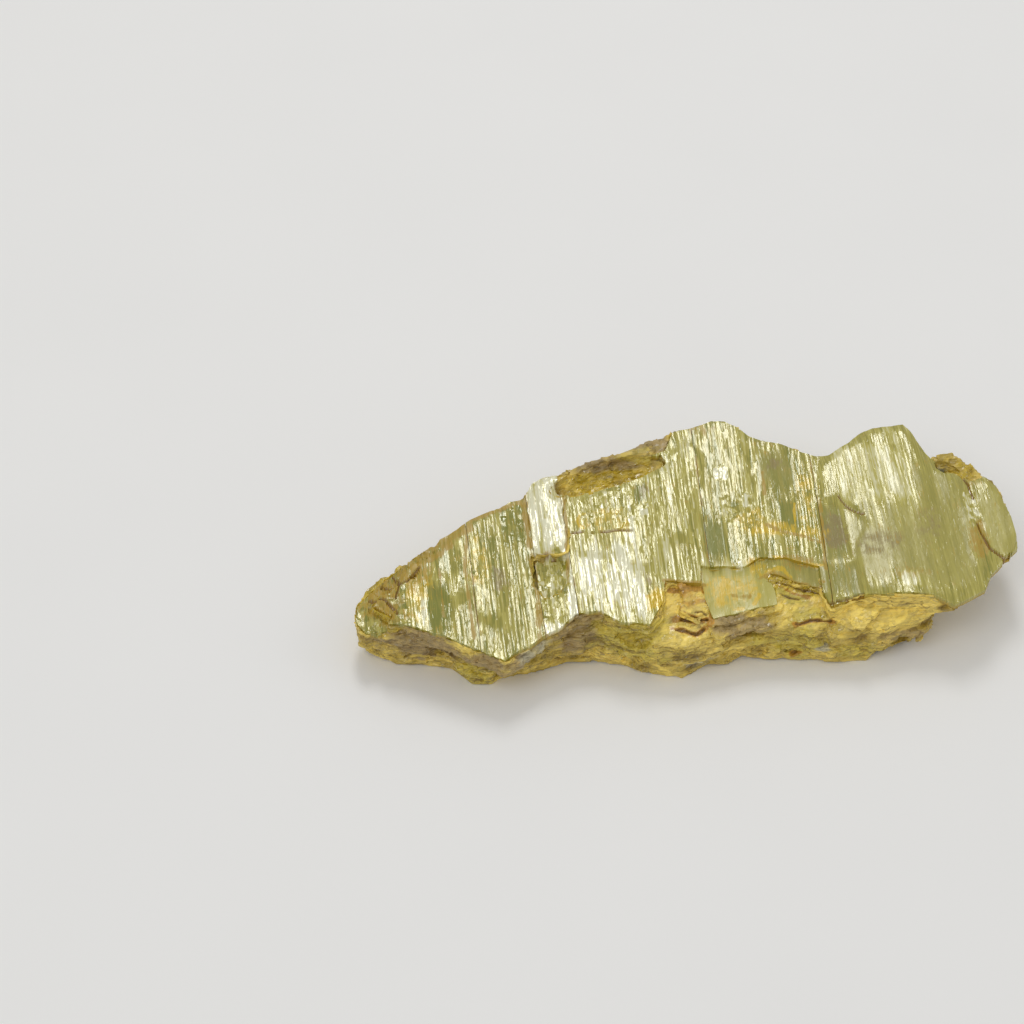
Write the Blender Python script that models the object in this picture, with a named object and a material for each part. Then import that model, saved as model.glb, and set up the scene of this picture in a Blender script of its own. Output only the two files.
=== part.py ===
"""An orpiment specimen, modelled as one solid.

Orpiment splits into sheets like the pages of a book. The specimen is a wedge of such sheets
lying on its broken underside: a striated cleavage face on top, leaning to the front, and
stepped, ragged edges all round. X runs along the specimen, Y goes away from the front edge
and Z is up. Outlines and heights are in millimetres, and the mesh is in metres.

Each sheet is drawn flat, as an outline with a ragged wall. The sheets are joined, the broken
hollows are cut, and the whole stack is then leaned, folded and cut off level at the ground.
"""

import math
import random
from contextlib import contextmanager
from typing import NamedTuple

import bmesh
import bpy
from mathutils import Matrix, Vector

MM = 0.001
NODE = "orpiment_specimen"


class Plate(NamedTuple):
    """A sheet: its lowest and highest level, how far it dips, and its outline."""

    name: str
    low: float
    high: float
    dip: tuple
    outline: list


class Lump(NamedTuple):
    """A rounded block: its centre, its half sizes and its turn about Z in degrees."""

    name: str
    centre: tuple
    half: tuple
    turn: float


# The lean of the sheets: the face falls to the front by this angle.
LEAN = math.radians(8.0)

# Heights in the flat stack, over the ground line at y = 0.
FACE_TOP = 7.0
FACE_LOW = 5.35
MIDDLE_TOP = 5.7
MIDDLE_LOW = 3.3
LOWER_TOP = 3.6
LOWER_LOW = 1.4
BASE_TOP = 1.75
BELOW_GROUND = -4.0
GROUND_SIZE = 90.0

# Broken walls: the spacing of their points and how far these stand in or out.
WALL_STEP = 1.5
WALL_RAG = 0.28
COURSE_HEIGHT = 1.0
COURSES_MOST = 3
COURSE_LEDGE = 0.32
SEED = 31

# The face is cut across into narrow strips, which stand a little higher or lower.
STRIP_WIDTH = 1.2
STRIP_RISE = 0.12
STRIP_LENGTH = 9.6
CROSS_STEP = 3.2
FACE_REACH = 34.0
LEVEL = (0.0, 0.0)

# How far the striations lean along X for each step along Y: x against the lean there.
LEANS = [(-30.0, -0.11), (-8.0, -0.11), (10.0, -0.02), (18.0, -0.11), (30.0, -0.11)]

FACE = [
    (-26.8, -9.7), (-23.0, -10.9), (-20.4, -12.2), (-18.1, -13.3), (-16.5, -14.0), (-14.3, -12.2),
    (-11.7, -10.4), (-10.3, -9.0), (-8.1, -8.7), (-6.4, -10.0), (-3.8, -10.4), (-2.5, -7.6),
    (-2.3, -5.4), (0.9, -5.4), (1.0, -3.4), (4.9, -3.7), (6.4, -2.6), (9.0, -2.6), (11.6, -3.4),
    (11.7, -6.2), (12.4, -7.8), (15.1, -6.7), (18.5, -7.0), (21.6, -7.0), (23.2, -8.0),
    (24.5, -7.2), (26.2, -6.0), (28.1, -2.9), (29.7, -1.1), (29.8, 0.2), (29.3, 3.6), (28.7, 6.0),
    (27.8, 7.2), (26.5, 6.6), (25.1, 7.2), (23.6, 8.4), (22.6, 9.5), (21.4, 12.1), (20.7, 13.2),
    (17.8, 12.7), (15.2, 10.8), (13.5, 9.7), (11.1, 10.1), (9.2, 11.0), (6.3, 11.8), (4.0, 13.7),
    (2.8, 13.8), (0.7, 12.9), (-2.7, 11.3), (-6.3, 9.4), (-10.5, 7.8), (-14.1, 6.1), (-14.9, 4.4),
    (-17.0, 3.2), (-19.6, 1.6), (-22.4, -0.5), (-24.0, -4.0), (-25.2, -5.8), (-26.2, -8.0),
]
MIDDLE = [
    (-29.4, -9.2), (-27.0, -9.9), (-24.0, -10.2), (-21.0, -11.0), (-18.5, -12.3), (-16.3, -12.1),
    (-13.8, -11.1), (-11.2, -10.1), (-8.5, -9.6), (-6.0, -10.3), (-3.0, -11.2), (-0.6, -11.4),
    (1.8, -10.6), (5.0, -9.3), (8.0, -9.2), (11.8, -9.2), (12.3, -6.3), (15.3, -6.1), (18.6, -6.4),
    (22.0, -5.6), (24.6, -3.8), (26.4, -1.0), (27.0, 2.5), (25.6, 5.5), (22.5, 8.4), (20.4, 12.2),
    (17.8, 11.6), (15.0, 10.2), (12.0, 9.6), (8.5, 11.2), (4.5, 12.9), (2.5, 13.2), (-2.5, 11.6),
    (-7.5, 9.6), (-12.0, 7.4), (-16.0, 4.4), (-21.5, 0.8), (-25.0, -1.8), (-28.2, -3.8), (-29.7, -6.2),
]
LOWER = [
    (-28.8, -8.0), (-26.0, -9.0), (-23.0, -9.6), (-20.3, -10.6), (-18.0, -11.2), (-15.8, -10.6),
    (-12.5, -9.6), (-8.6, -8.9), (-5.5, -9.5), (-2.6, -10.8), (-0.8, -10.8), (1.5, -9.3), (4.7, -8.6),
    (8.5, -8.9), (12.3, -9.2), (15.6, -8.5), (18.5, -7.2), (20.6, -5.6), (21.8, -3.0), (23.2, 0.5),
    (22.8, 4.0), (20.8, 8.0), (17.2, 10.6), (12.5, 10.2), (8.0, 11.2), (3.5, 12.6), (-2.0, 11.4),
    (-8.0, 9.0), (-13.5, 6.4), (-19.0, 2.8), (-24.5, -0.9), (-27.8, -3.8), (-29.2, -6.2),
]
BASE = [
    (-28.2, -7.0), (-26.0, -8.2), (-23.5, -8.9), (-20.5, -9.8), (-16.0, -9.8), (-12.6, -8.9),
    (-8.5, -8.3), (-6.0, -8.6), (-3.0, -9.8), (-0.6, -9.8), (2.3, -8.2), (4.7, -8.0), (8.0, -8.4),
    (12.0, -8.7), (15.5, -8.0), (18.2, -6.2), (20.0, -2.5), (20.6, 2.0), (18.6, 7.0), (14.0, 9.2),
    (8.0, 9.8), (3.0, 10.9), (-3.0, 9.8), (-9.0, 7.4), (-15.0, 4.4), (-21.0, 0.6), (-26.0, -3.2),
    (-28.4, -5.4),
]

# Smaller sheets and blocks. A dip of (a, b) lifts a sheet by a along X and by b along Y for each
# step away from its middle.
PLATES = [
    Plate("end_step_low", 4.8, 6.15, (0.1, 0.05), [
        (-29.8, -8.4), (-28.9, -10.0), (-27.4, -9.4), (-25.2, -9.6), (-24.4, -6.9), (-23.4, -4.4),
        (-21.8, -0.9), (-23.4, -1.3), (-25.8, -3.0), (-28.0, -4.6), (-29.9, -6.6)]),
    Plate("end_step_high", 5.5, 6.9, (0.2, -0.08), [
        (-28.2, -7.6), (-26.6, -8.9), (-25.4, -7.4), (-24.6, -4.9), (-25.6, -4.2), (-27.0, -5.6)]),
    Plate("end_tooth", 5.6, 7.0, (-0.15, 0.12), [
        (-25.9, -4.6), (-24.4, -4.4), (-22.6, -1.3), (-23.6, -1.7), (-25.6, -3.4)]),
    Plate("shelf", 3.0, 5.75, (-0.02, 0.24), [
        (12.0, -4.4), (12.3, -9.7), (14.0, -9.6), (15.5, -9.0), (17.2, -8.9), (18.8, -8.1), (20.6, -7.9),
        (21.9, -7.0), (22.3, -5.4), (20.8, -4.2)]),
    Plate("shelf_chip", 3.8, 5.8, (0.06, 0.12), [
        (12.2, -7.4), (12.7, -9.4), (15.0, -9.3), (16.6, -7.6), (14.2, -6.9)]),
    Plate("pale_plate", 3.9, 6.45, (-0.03, 0.1), [
        (0.6, -2.6), (0.9, -6.0), (1.3, -9.3), (3.2, -9.0), (5.6, -8.0), (8.2, -7.4), (8.3, -1.9),
        (4.8, -2.9)]),
    Plate("arch", 3.7, 6.25, (-0.05, 0.22), [
        (6.9, -1.9), (7.4, -4.6), (7.6, -8.6), (9.0, -9.4), (10.8, -9.1), (12.5, -8.6), (12.3, -5.0),
        (12.6, -2.6), (9.6, -1.6)]),
    Plate("ochre_block", 3.8, 6.05, (0.06, 0.12), [
        (-3.5, -4.6), (-2.9, -7.4), (-3.6, -10.4), (-2.0, -11.4), (-0.4, -11.0), (1.0, -10.9),
        (1.7, -9.4), (1.9, -4.9)]),
    Plate("ochre_cap", 5.5, 6.75, (-0.1, 0.05), [
        (-1.4, -4.7), (-0.7, -6.8), (-1.1, -8.3), (0.5, -8.9), (1.5, -7.6), (1.4, -4.7)]),
    Plate("bright_strip", 6.5, 7.4, (0.05, 0.0), [
        (-14.1, 6.0), (-14.4, 2.0), (-14.0, -1.6), (-13.2, -2.9), (-12.3, -2.2), (-11.3, -3.2),
        (-10.9, -1.0), (-11.3, 3.0), (-10.8, 7.2), (-12.2, 6.8)]),
    Plate("left_leaf", 6.6, 7.22, (-0.02, 0.0), [
        (-22.6, -1.8), (-22.9, -6.2), (-21.2, -7.9), (-19.3, -7.0), (-18.7, -9.5), (-16.9, -10.2),
        (-16.5, -4.0), (-16.2, 2.9), (-18.2, 2.2), (-20.4, 0.6)]),
    Plate("middle_leaf", 6.6, 7.22, (0.015, 0.0), [
        (-10.2, 4.0), (-10.4, -2.1), (-8.4, -2.6), (-5.8, -2.1), (-5.4, -3.8), (-2.7, -4.2),
        (-2.3, -1.1), (0.5, -0.4), (0.9, 4.0), (1.6, 9.7), (0.4, 11.2), (-1.2, 9.4), (-4.4, 6.5),
        (-7.6, 4.8)]),
    Plate("right_leaf", 6.6, 7.3, (0.0, 0.0), [
        (12.8, 8.9), (12.3, 4.3), (14.8, 3.6), (16.3, 1.2), (15.1, -1.6), (15.5, -6.3), (18.4, -6.8),
        (21.6, -6.9), (23.2, -7.7), (25.3, -6.2), (26.4, -3.6), (26.2, 1.6), (25.4, 6.4), (22.2, 8.9),
        (21.0, 12.2), (20.4, 12.9), (17.8, 12.4), (15.2, 10.5)]),
    Plate("end_flake", 6.4, 7.45, (0.09, 0.03), [
        (26.4, 6.3), (27.6, 6.9), (28.5, 5.9), (29.2, 3.4), (29.7, 0.0), (28.3, -2.6), (26.8, -1.9),
        (26.4, -0.4), (26.8, 1.4), (26.1, 3.4)]),
    Plate("back_flap", 4.6, 6.8, (0.06, 0.15), [
        (21.8, 8.4), (23.2, 9.5), (24.9, 9.9), (26.7, 8.8), (27.7, 7.1), (26.4, 5.4), (23.6, 6.0)]),
    Plate("toe", BELOW_GROUND, 2.9, (0.12, 0.1), [
        (-20.9, -8.6), (-20.8, -10.4), (-19.5, -12.0), (-17.7, -12.0), (-16.9, -10.8), (-16.6, -8.6)]),
    Plate("chip", BELOW_GROUND, 2.4, (0.1, 0.1), [
        (-3.2, -8.6), (-2.8, -10.5), (-2.2, -11.1), (-1.2, -10.9), (-0.4, -8.6)]),
    Plate("back_ledge", 2.6, 4.9, (0.0, -0.15), [
        (-9.8, 6.4), (-7.6, 9.4), (-3.8, 11.4), (0.6, 12.4), (3.2, 11.9), (4.6, 8.6)]),
]

# Shallow places broken out of the face down to a lower, cleaner sheet.
WINDOWS = [
    Plate("strip_foot", 6.05, 8.2, (0.12, 0.06), [
        (-14.2, -2.2), (-13.9, -5.2), (-12.9, -6.9), (-11.6, -6.2), (-10.7, -4.2), (-11.2, -2.6)]),
    Plate("clean_window", 6.72, 8.2, (0.04, 0.0), [
        (8.2, 9.9), (8.6, 5.6), (8.2, 2.6), (9.8, 2.0), (11.2, 2.9), (11.5, 7.2), (10.9, 9.4)]),
    Plate("olive_window", 6.74, 8.2, (-0.03, 0.0), [
        (3.4, 4.6), (3.7, 0.6), (4.4, -1.4), (6.2, -1.0), (6.4, 2.4), (5.6, 5.2)]),
    Plate("left_window", 6.7, 8.2, (0.05, 0.0), [
        (-23.8, -5.6), (-24.6, -8.3), (-23.5, -9.4), (-22.9, -7.4), (-22.8, -4.6)]),
]

# Angular lumps left on the walls, and bites broken out of them.
LUMPS = [
    Lump("crumb_toe", (-19.6, -10.3, 2.4), (1.6, 1.5, 1.3), 20.0),
    Lump("crumb_left", (-25.6, -8.8, 2.1), (1.9, 0.9, 1.2), -12.0),
    Lump("crumb_below_strip", (-12.4, -9.5, 3.6), (2.1, 0.9, 1.1), 25.0),
    Lump("crumb_middle", (-7.6, -8.9, 3.0), (1.8, 1.0, 1.6), -15.0),
    Lump("crumb_ochre", (0.9, -9.3, 3.2), (1.7, 1.1, 1.3), 10.0),
    Lump("crumb_plate", (5.2, -8.3, 2.6), (2.0, 0.8, 1.2), 15.0),
    Lump("crumb_shelf", (14.6, -8.3, 1.8), (2.2, 0.9, 1.3), -10.0),
    Lump("crumb_back_left", (-16.6, 3.6, 2.4), (2.6, 1.0, 1.4), 35.0),
    Lump("crumb_back", (6.8, 11.0, 2.2), (2.6, 1.1, 1.5), -12.0),
    Lump("crumb_back_right", (18.4, 9.8, 2.6), (2.4, 1.2, 1.5), -30.0),
    Lump("crumb_right", (22.2, 1.4, 1.6), (1.2, 2.6, 1.3), 8.0),
]
BITES = [
    Lump("bite_left", (-22.2, -10.8, 4.0), (2.2, 1.1, 1.0), -18.0),
    Lump("bite_tip", (-29.6, -6.0, 2.2), (1.0, 1.6, 1.2), 10.0),
    Lump("bite_strip", (-14.6, -12.2, 4.9), (1.9, 1.1, 1.0), 35.0),
    Lump("bite_middle", (-5.0, -10.2, 5.3), (2.0, 1.2, 0.9), -15.0),
    Lump("bite_plate", (4.6, -9.6, 4.6), (2.6, 1.1, 0.8), 10.0),
    Lump("bite_arch", (9.4, -9.4, 2.6), (2.0, 1.0, 1.1), 0.0),
    Lump("bite_shelf", (18.8, -7.4, 2.4), (2.4, 1.2, 1.0), 25.0),
    Lump("bite_right", (24.6, -4.0, 3.9), (3.6, 3.2, 1.6), 30.0),
    Lump("bite_end", (27.6, 3.0, 4.4), (2.2, 4.0, 1.3), 0.0),
    Lump("bite_back_right", (20.8, 9.8, 4.6), (2.2, 1.4, 1.2), -40.0),
    Lump("bite_notch", (12.6, 10.7, 3.6), (3.6, 1.8, 1.8), 8.0),
    Lump("bite_back", (-5.8, 10.6, 3.4), (3.0, 1.4, 1.3), 24.0),
    Lump("bite_back_left", (-19.4, 2.6, 4.7), (3.4, 1.2, 1.1), 33.0),
    Lump("foot_gap_left", (-11.4, -9.0, 0.0), (3.4, 1.6, 0.9), 5.0),
    Lump("foot_gap_right", (8.6, -8.8, 0.0), (3.0, 1.5, 0.8), 0.0),
    Lump("foot_gap_back", (11.0, 9.6, 0.6), (4.2, 1.8, 1.2), -12.0),
    Lump("foot_gap_behind", (-15.0, 4.6, 0.0), (4.0, 1.6, 1.2), 26.0),
    Lump("foot_gap_end", (20.6, 3.0, 0.2), (1.4, 3.0, 1.2), 0.0),
    Lump("end_pit", (24.3, 8.0, 7.3), (1.7, 0.9, 1.5), -28.0),
    Lump("end_nick", (-27.0, -5.6, 7.2), (1.3, 0.7, 1.3), 50.0),
]
LUMP_RAG = 0.22

# The scoop is a smooth shell-shaped break, which leaves a thin rim behind it.
SCOOP = Lump("scoop", (-6.8, 6.95, 7.6), (6.3, 1.75, 2.0), 20.5)
SCOOP_RAG = 0.04

# Folds across the specimen: x against the rise of the face there.
FOLDS = [
    (-30.0, -0.45), (-24.0, -0.05), (-19.0, 0.2), (-14.3, -0.25), (-10.5, 0.1), (-4.0, 0.3),
    (1.6, -0.1), (5.0, 0.15), (9.0, -0.1), (12.4, -0.3), (17.0, 0.15), (21.0, 0.15), (25.5, -0.15),
    (30.0, -0.6),
]
FOLD_FOOT = 2.5

# A face of a sheet counts as upward where its normal rises more than this.
UPWARD = 0.9

GOLD = (0.62, 0.55, 0.2, 1.0)


def clear_scene():
    """Empties the scene."""
    for obj in list(bpy.data.objects):
        bpy.data.objects.remove(obj, do_unlink=True)


def is_clockwise(points):
    """Whether the outline runs clockwise, seen from above."""
    closing = zip(points, points[1:] + points[:1])
    return sum((b[0] - a[0]) * (b[1] + a[1]) for a, b in closing) > 0


def ragged(outline, rng):
    """The outline anticlockwise, with a point about every WALL_STEP, each but the corners moved a little."""
    corners = outline[::-1] if is_clockwise(outline) else outline
    points = []
    for (ax, ay), (bx, by) in zip(corners, corners[1:] + corners[:1]):
        length = math.hypot(bx - ax, by - ay)
        pieces = max(1, round(length / WALL_STEP))
        points.append(Vector((ax, ay)))
        for i in range(1, pieces):
            out = rng.uniform(-WALL_RAG, WALL_RAG)
            t = i / pieces
            points.append(Vector((
                ax + (bx - ax) * t + (by - ay) / length * out,
                ay + (by - ay) * t - (bx - ax) / length * out,
            )))
    return points


def outward(points):
    """The direction out of the outline at each of its points."""
    count = len(points)
    ways = []
    for i in range(count):
        along = points[(i + 1) % count] - points[i - 1]
        ways.append(Vector((along.y, -along.x)).normalized())
    return ways


def sheet(plate, rng):
    """A closed sheet with a wall of several courses. The top course keeps the outline."""
    points = ragged(plate.outline, rng)
    ways = outward(points)
    height = plate.high - plate.low
    courses = min(COURSES_MOST, max(1, round(height / COURSE_HEIGHT)))
    middle = sum(points, Vector((0.0, 0.0))) / len(points)
    bm = bmesh.new()
    top = bm.faces.new([bm.verts.new((p.x, p.y, plate.high)) for p in points])
    cap = bm.faces.new([bm.verts.new(v.co) for v in top.verts])
    for course in range(1, courses + 1):
        cap = bmesh.ops.extrude_discrete_faces(bm, faces=[cap])["faces"][0]
        ledge = rng.uniform(-COURSE_LEDGE, COURSE_LEDGE)
        for v, p, way in zip(cap.verts, points, ways):
            out = ledge + rng.uniform(-WALL_RAG, WALL_RAG)
            v.co = Vector((p.x + way.x * out, p.y + way.y * out, plate.high - height * course / courses))
    for v in bm.verts:
        v.co.z += plate.dip[0] * (v.co.x - middle.x) + plate.dip[1] * (v.co.y - middle.y)
    bmesh.ops.scale(bm, verts=bm.verts, vec=(MM, MM, MM))
    bmesh.ops.remove_doubles(bm, verts=bm.verts, dist=MM / 100)
    bmesh.ops.triangulate(bm, faces=[f for f in bm.faces if len(f.verts) == 4])
    bmesh.ops.recalc_face_normals(bm, faces=bm.faces)
    return mesh_object(plate.name, bm)


def mesh_object(name, bm):
    """Makes an object of the bmesh and frees it."""
    mesh = bpy.data.meshes.new(name)
    bm.to_mesh(mesh)
    bm.free()
    obj = bpy.data.objects.new(name, mesh)
    bpy.context.scene.collection.objects.link(obj)
    return obj


@contextmanager
def edited(obj):
    """Opens the object's mesh as a bmesh and writes it back afterwards."""
    bm = bmesh.new()
    bm.from_mesh(obj.data)
    yield bm
    bm.to_mesh(obj.data)
    bm.free()


def boulder(lump, rng, facets, rag):
    """A faceted ellipsoid, with its corners moved in or out by the share rag of its size."""
    bm = bmesh.new()
    bmesh.ops.create_icosphere(bm, subdivisions=facets, radius=1.0)
    for v in bm.verts:
        v.co *= 1.0 + rng.uniform(-rag, rag)
    place = (
        Matrix.Translation(Vector(lump.centre) * MM)
        @ Matrix.Rotation(math.radians(lump.turn), 4, "Z")
        @ Matrix.Diagonal((*(Vector(lump.half) * MM), 1.0))
    )
    bmesh.ops.transform(bm, matrix=place, verts=bm.verts)
    return mesh_object(lump.name, bm)


def combined(obj, others, operation):
    """Applies one Boolean of obj with all the others, which are then removed."""
    group = bpy.data.collections.new("operands")
    for other in others:
        group.objects.link(other)
    modifier = obj.modifiers.new("combine", "BOOLEAN")
    modifier.operand_type = "COLLECTION"
    modifier.collection = group
    modifier.operation = operation
    modifier.solver = "EXACT"
    bpy.context.view_layer.update()
    graph = bpy.context.evaluated_depsgraph_get()
    mesh = bpy.data.meshes.new_from_object(obj.evaluated_get(graph))
    obj.modifiers.clear()
    obj.data = mesh
    for other in others:
        bpy.data.objects.remove(other, do_unlink=True)
    bpy.data.collections.remove(group)


def along(line, x):
    """The height at x of a line that runs straight from one of its points to the next."""
    for (x0, y0), (x1, y1) in zip(line, line[1:]):
        if x <= x1:
            return y0 + (y1 - y0) * max(0.0, x - x0) / (x1 - x0)
    return line[-1][1]


def on_face(face):
    """Whether this is an upward face of the upper sheets."""
    return face.normal.z > UPWARD and face.calc_center_median().z > MIDDLE_TOP * MM


def cut_strips(bm):
    """Cuts the upward faces of the upper sheets along the striations and then across them."""
    cuts = []
    x = -FACE_REACH
    while x < FACE_REACH:
        cuts.append((Vector((x, 0.0, 0.0)), Vector((1.0, -along(LEANS, x), 0.0))))
        x += STRIP_WIDTH
    y = -FACE_REACH / 2
    while y < FACE_REACH / 2:
        cuts.append((Vector((0.0, y, 0.0)), Vector((0.0, 1.0, 0.0))))
        y += CROSS_STEP
    for place, way in cuts:
        faces = [f for f in bm.faces if on_face(f)]
        edges = dict.fromkeys(e for f in faces for e in f.edges)
        verts = dict.fromkeys(v for f in faces for v in f.verts)
        bmesh.ops.bisect_plane(
            bm, geom=[*faces, *edges, *verts], dist=MM / 100, plane_co=place * MM, plane_no=way
        )


def strip_rise(x, y):
    """A height for the fold line through this point, the same all along its striation."""
    line = round((x - along(LEANS, x) * y) / STRIP_WIDTH)
    length = round(y / STRIP_LENGTH)
    return random.Random(f"{SEED} {line} {length}").uniform(-STRIP_RISE, STRIP_RISE)


def lean_and_fold(bm):
    """Leans the stack, and folds and roughens it more the higher it is."""
    tops = {v for f in bm.faces if on_face(f) for v in f.verts}
    rise = {v: strip_rise(v.co.x / MM, v.co.y / MM) * MM for v in tops}
    for v in bm.verts:
        share = (v.co.z / MM - FOLD_FOOT) / (FACE_TOP - FOLD_FOOT)
        v.co.z += min(1.0, max(0.0, share)) * along(FOLDS, v.co.x / MM) * MM + rise.get(v, 0.0)
        v.co.z += math.tan(LEAN) * v.co.y


def ground():
    """A block that fills the space under the ground line."""
    bm = bmesh.new()
    bmesh.ops.create_cube(bm, size=GROUND_SIZE * MM)
    bmesh.ops.translate(bm, verts=bm.verts, vec=(0.0, 0.0, -GROUND_SIZE / 2 * MM))
    return mesh_object("ground", bm)


def keep_largest(bm):
    """Drops crumbs that a break has cut loose, and pockets closed inside the stack."""
    left = set(bm.faces)
    islands = []
    while left:
        island = {left.pop()}
        edge = list(island)
        while edge:
            face = edge.pop()
            near = {f for e in face.edges for f in e.link_faces} & left
            left -= near
            island |= near
            edge += near
        islands.append(island)
    largest = max(islands, key=len)
    loose = [f for f in bm.faces if f not in largest]
    bmesh.ops.delete(bm, geom=loose, context="FACES")


def centre_on_box(bm):
    """Puts the origin at the middle of the box around the specimen, at the ground."""
    xs = [v.co.x for v in bm.verts]
    ys = [v.co.y for v in bm.verts]
    shift = Vector((-(min(xs) + max(xs)) / 2, -(min(ys) + max(ys)) / 2, 0.0))
    bmesh.ops.translate(bm, verts=bm.verts, vec=shift)


def material():
    """The greenish gold of a cleavage face, with orpiment's high refractive index."""
    made = bpy.data.materials.new("orpiment")
    made.use_nodes = True
    shader = made.node_tree.nodes["Principled BSDF"]
    shader.inputs["Base Color"].default_value = GOLD
    shader.inputs["Roughness"].default_value = 0.3
    shader.inputs["Metallic"].default_value = 0.0
    shader.inputs["IOR"].default_value = 2.4
    return made


def main():
    clear_scene()
    rng = random.Random(SEED)
    specimen = sheet(Plate(NODE, FACE_LOW, FACE_TOP, LEVEL, FACE), rng)
    stack = [
        sheet(Plate("middle", MIDDLE_LOW, MIDDLE_TOP, LEVEL, MIDDLE), rng),
        sheet(Plate("lower", LOWER_LOW, LOWER_TOP, LEVEL, LOWER), rng),
        sheet(Plate("base", BELOW_GROUND, BASE_TOP, LEVEL, BASE), rng),
    ]
    stack += [sheet(plate, rng) for plate in PLATES]
    stack += [boulder(lump, rng, 1, LUMP_RAG) for lump in LUMPS]
    combined(specimen, stack, "UNION")
    breaks = [sheet(plate, rng) for plate in WINDOWS]
    breaks += [boulder(lump, rng, 1, LUMP_RAG) for lump in BITES]
    breaks.append(boulder(SCOOP, rng, 3, SCOOP_RAG))
    combined(specimen, breaks, "DIFFERENCE")

    with edited(specimen) as bm:
        bmesh.ops.remove_doubles(bm, verts=bm.verts, dist=MM / 100)
        cut_strips(bm)
        lean_and_fold(bm)
    combined(specimen, [ground()], "DIFFERENCE")
    with edited(specimen) as bm:
        keep_largest(bm)
        centre_on_box(bm)
        bmesh.ops.triangulate(bm, faces=bm.faces)
    specimen.data.materials.clear()
    specimen.data.materials.append(material())


main()
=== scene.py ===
"""The looks of an orpiment specimen.

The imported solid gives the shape. Two kinds of piece are laid over it, in its place: one broken
body, whose walls show torn layers and crumbs, and thin cleavage sheets on top, ridged by fine
striations. Places are in the drawing's millimetres: X along the specimen, Y away from its low
front edge, Z up. A level is a height over the leaning plane of the sheets.
"""

import logging
import math
from dataclasses import dataclass
from enum import Enum

import bmesh
import bpy
import numpy as np
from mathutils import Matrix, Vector
from mathutils.bvhtree import BVHTree


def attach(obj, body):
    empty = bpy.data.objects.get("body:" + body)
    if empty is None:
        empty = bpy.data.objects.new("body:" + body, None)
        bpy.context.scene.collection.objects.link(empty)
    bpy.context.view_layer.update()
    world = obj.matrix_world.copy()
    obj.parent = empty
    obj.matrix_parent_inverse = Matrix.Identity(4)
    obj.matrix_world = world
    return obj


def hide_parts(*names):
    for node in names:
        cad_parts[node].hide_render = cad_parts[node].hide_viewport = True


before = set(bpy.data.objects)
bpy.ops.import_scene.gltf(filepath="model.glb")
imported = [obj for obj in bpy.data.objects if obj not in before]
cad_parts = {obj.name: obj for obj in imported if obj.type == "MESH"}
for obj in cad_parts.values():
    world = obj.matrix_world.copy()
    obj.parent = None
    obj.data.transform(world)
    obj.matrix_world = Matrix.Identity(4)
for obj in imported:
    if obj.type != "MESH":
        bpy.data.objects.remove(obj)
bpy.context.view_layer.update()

LOG = logging.getLogger("orpiment")
NODE = "orpiment_specimen"
BODY = "root"
MM = 0.001

# Where the drawing's origin lies in the frame.
DRAWING_X = -0.05
DRAWING_Y = 0.18

# The sheets fall to the front by this slope.
LEAN = math.tan(math.radians(8.0))

Line = list[tuple[float, float]]
Colour = tuple[float, float, float, float]

# The folds of the face: x against its rise there.
FOLDS: Line = [
    (-30.0, -0.45), (-24.0, -0.05), (-19.0, 0.2), (-14.3, -0.25), (-10.5, 0.1), (-4.0, 0.3),
    (1.6, -0.1), (5.0, 0.15), (9.0, -0.1), (12.4, -0.3), (17.0, 0.15), (21.0, 0.15), (25.5, -0.15),
    (30.0, -0.6),
]

# How far the striations lean along X for each step along Y.
LEANS: Line = [(-30.0, -0.11), (-8.0, -0.11), (10.0, -0.02), (18.0, -0.11), (30.0, -0.11)]

# The outline of the cleavage face, seen from above.
FACE_OUTLINE: Line = [
    (-26.8, -9.7), (-23.0, -10.9), (-20.4, -12.2), (-18.1, -13.3), (-16.5, -14.0), (-14.3, -12.2),
    (-11.7, -10.4), (-10.3, -9.0), (-8.1, -8.7), (-6.4, -10.0), (-3.8, -10.4), (-2.5, -7.6),
    (-2.3, -5.4), (0.9, -5.4), (1.0, -3.4), (4.9, -3.7), (6.4, -2.6), (9.0, -2.6), (11.6, -3.4),
    (11.7, -6.2), (12.4, -7.8), (15.1, -6.7), (18.5, -7.0), (21.6, -7.0), (23.2, -8.0),
    (24.5, -7.2), (26.2, -6.0), (28.1, -2.9), (29.7, -1.1), (30.2, 0.2), (29.8, 3.6), (28.9, 6.2),
    (27.8, 7.4), (26.5, 6.6), (25.1, 7.2), (23.6, 8.4), (22.6, 9.5), (21.4, 12.3), (20.7, 13.5),
    (17.8, 12.9), (15.2, 11.0), (13.5, 9.9), (11.1, 10.3), (9.2, 11.2), (6.3, 12.0), (4.0, 14.0),
    (2.8, 14.1), (0.7, 13.2), (-0.9, 12.3), (-1.7, 10.0), (-4.0, 8.9), (-8.0, 7.3), (-10.3, 6.6),
    (-10.9, 8.0), (-14.1, 6.3), (-14.9, 4.7), (-17.0, 3.5), (-19.6, 1.9), (-22.4, -0.3),
    (-24.0, -4.0), (-25.2, -5.8), (-26.2, -8.0),
]

# Level of the face, and the lowest level that a cleavage sheet still covers.
FACE_LEVEL = 7.0
SHEET_LOWEST = 6.5


def along(line: Line, x: np.ndarray) -> np.ndarray:
    """Reads a line at every x.

    Args:
        line: Points of the line, from left to right.
        x: Places along it.

    Returns:
        The line's height at each place.
    """
    return np.interp(x, [p[0] for p in line], [p[1] for p in line])


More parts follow.
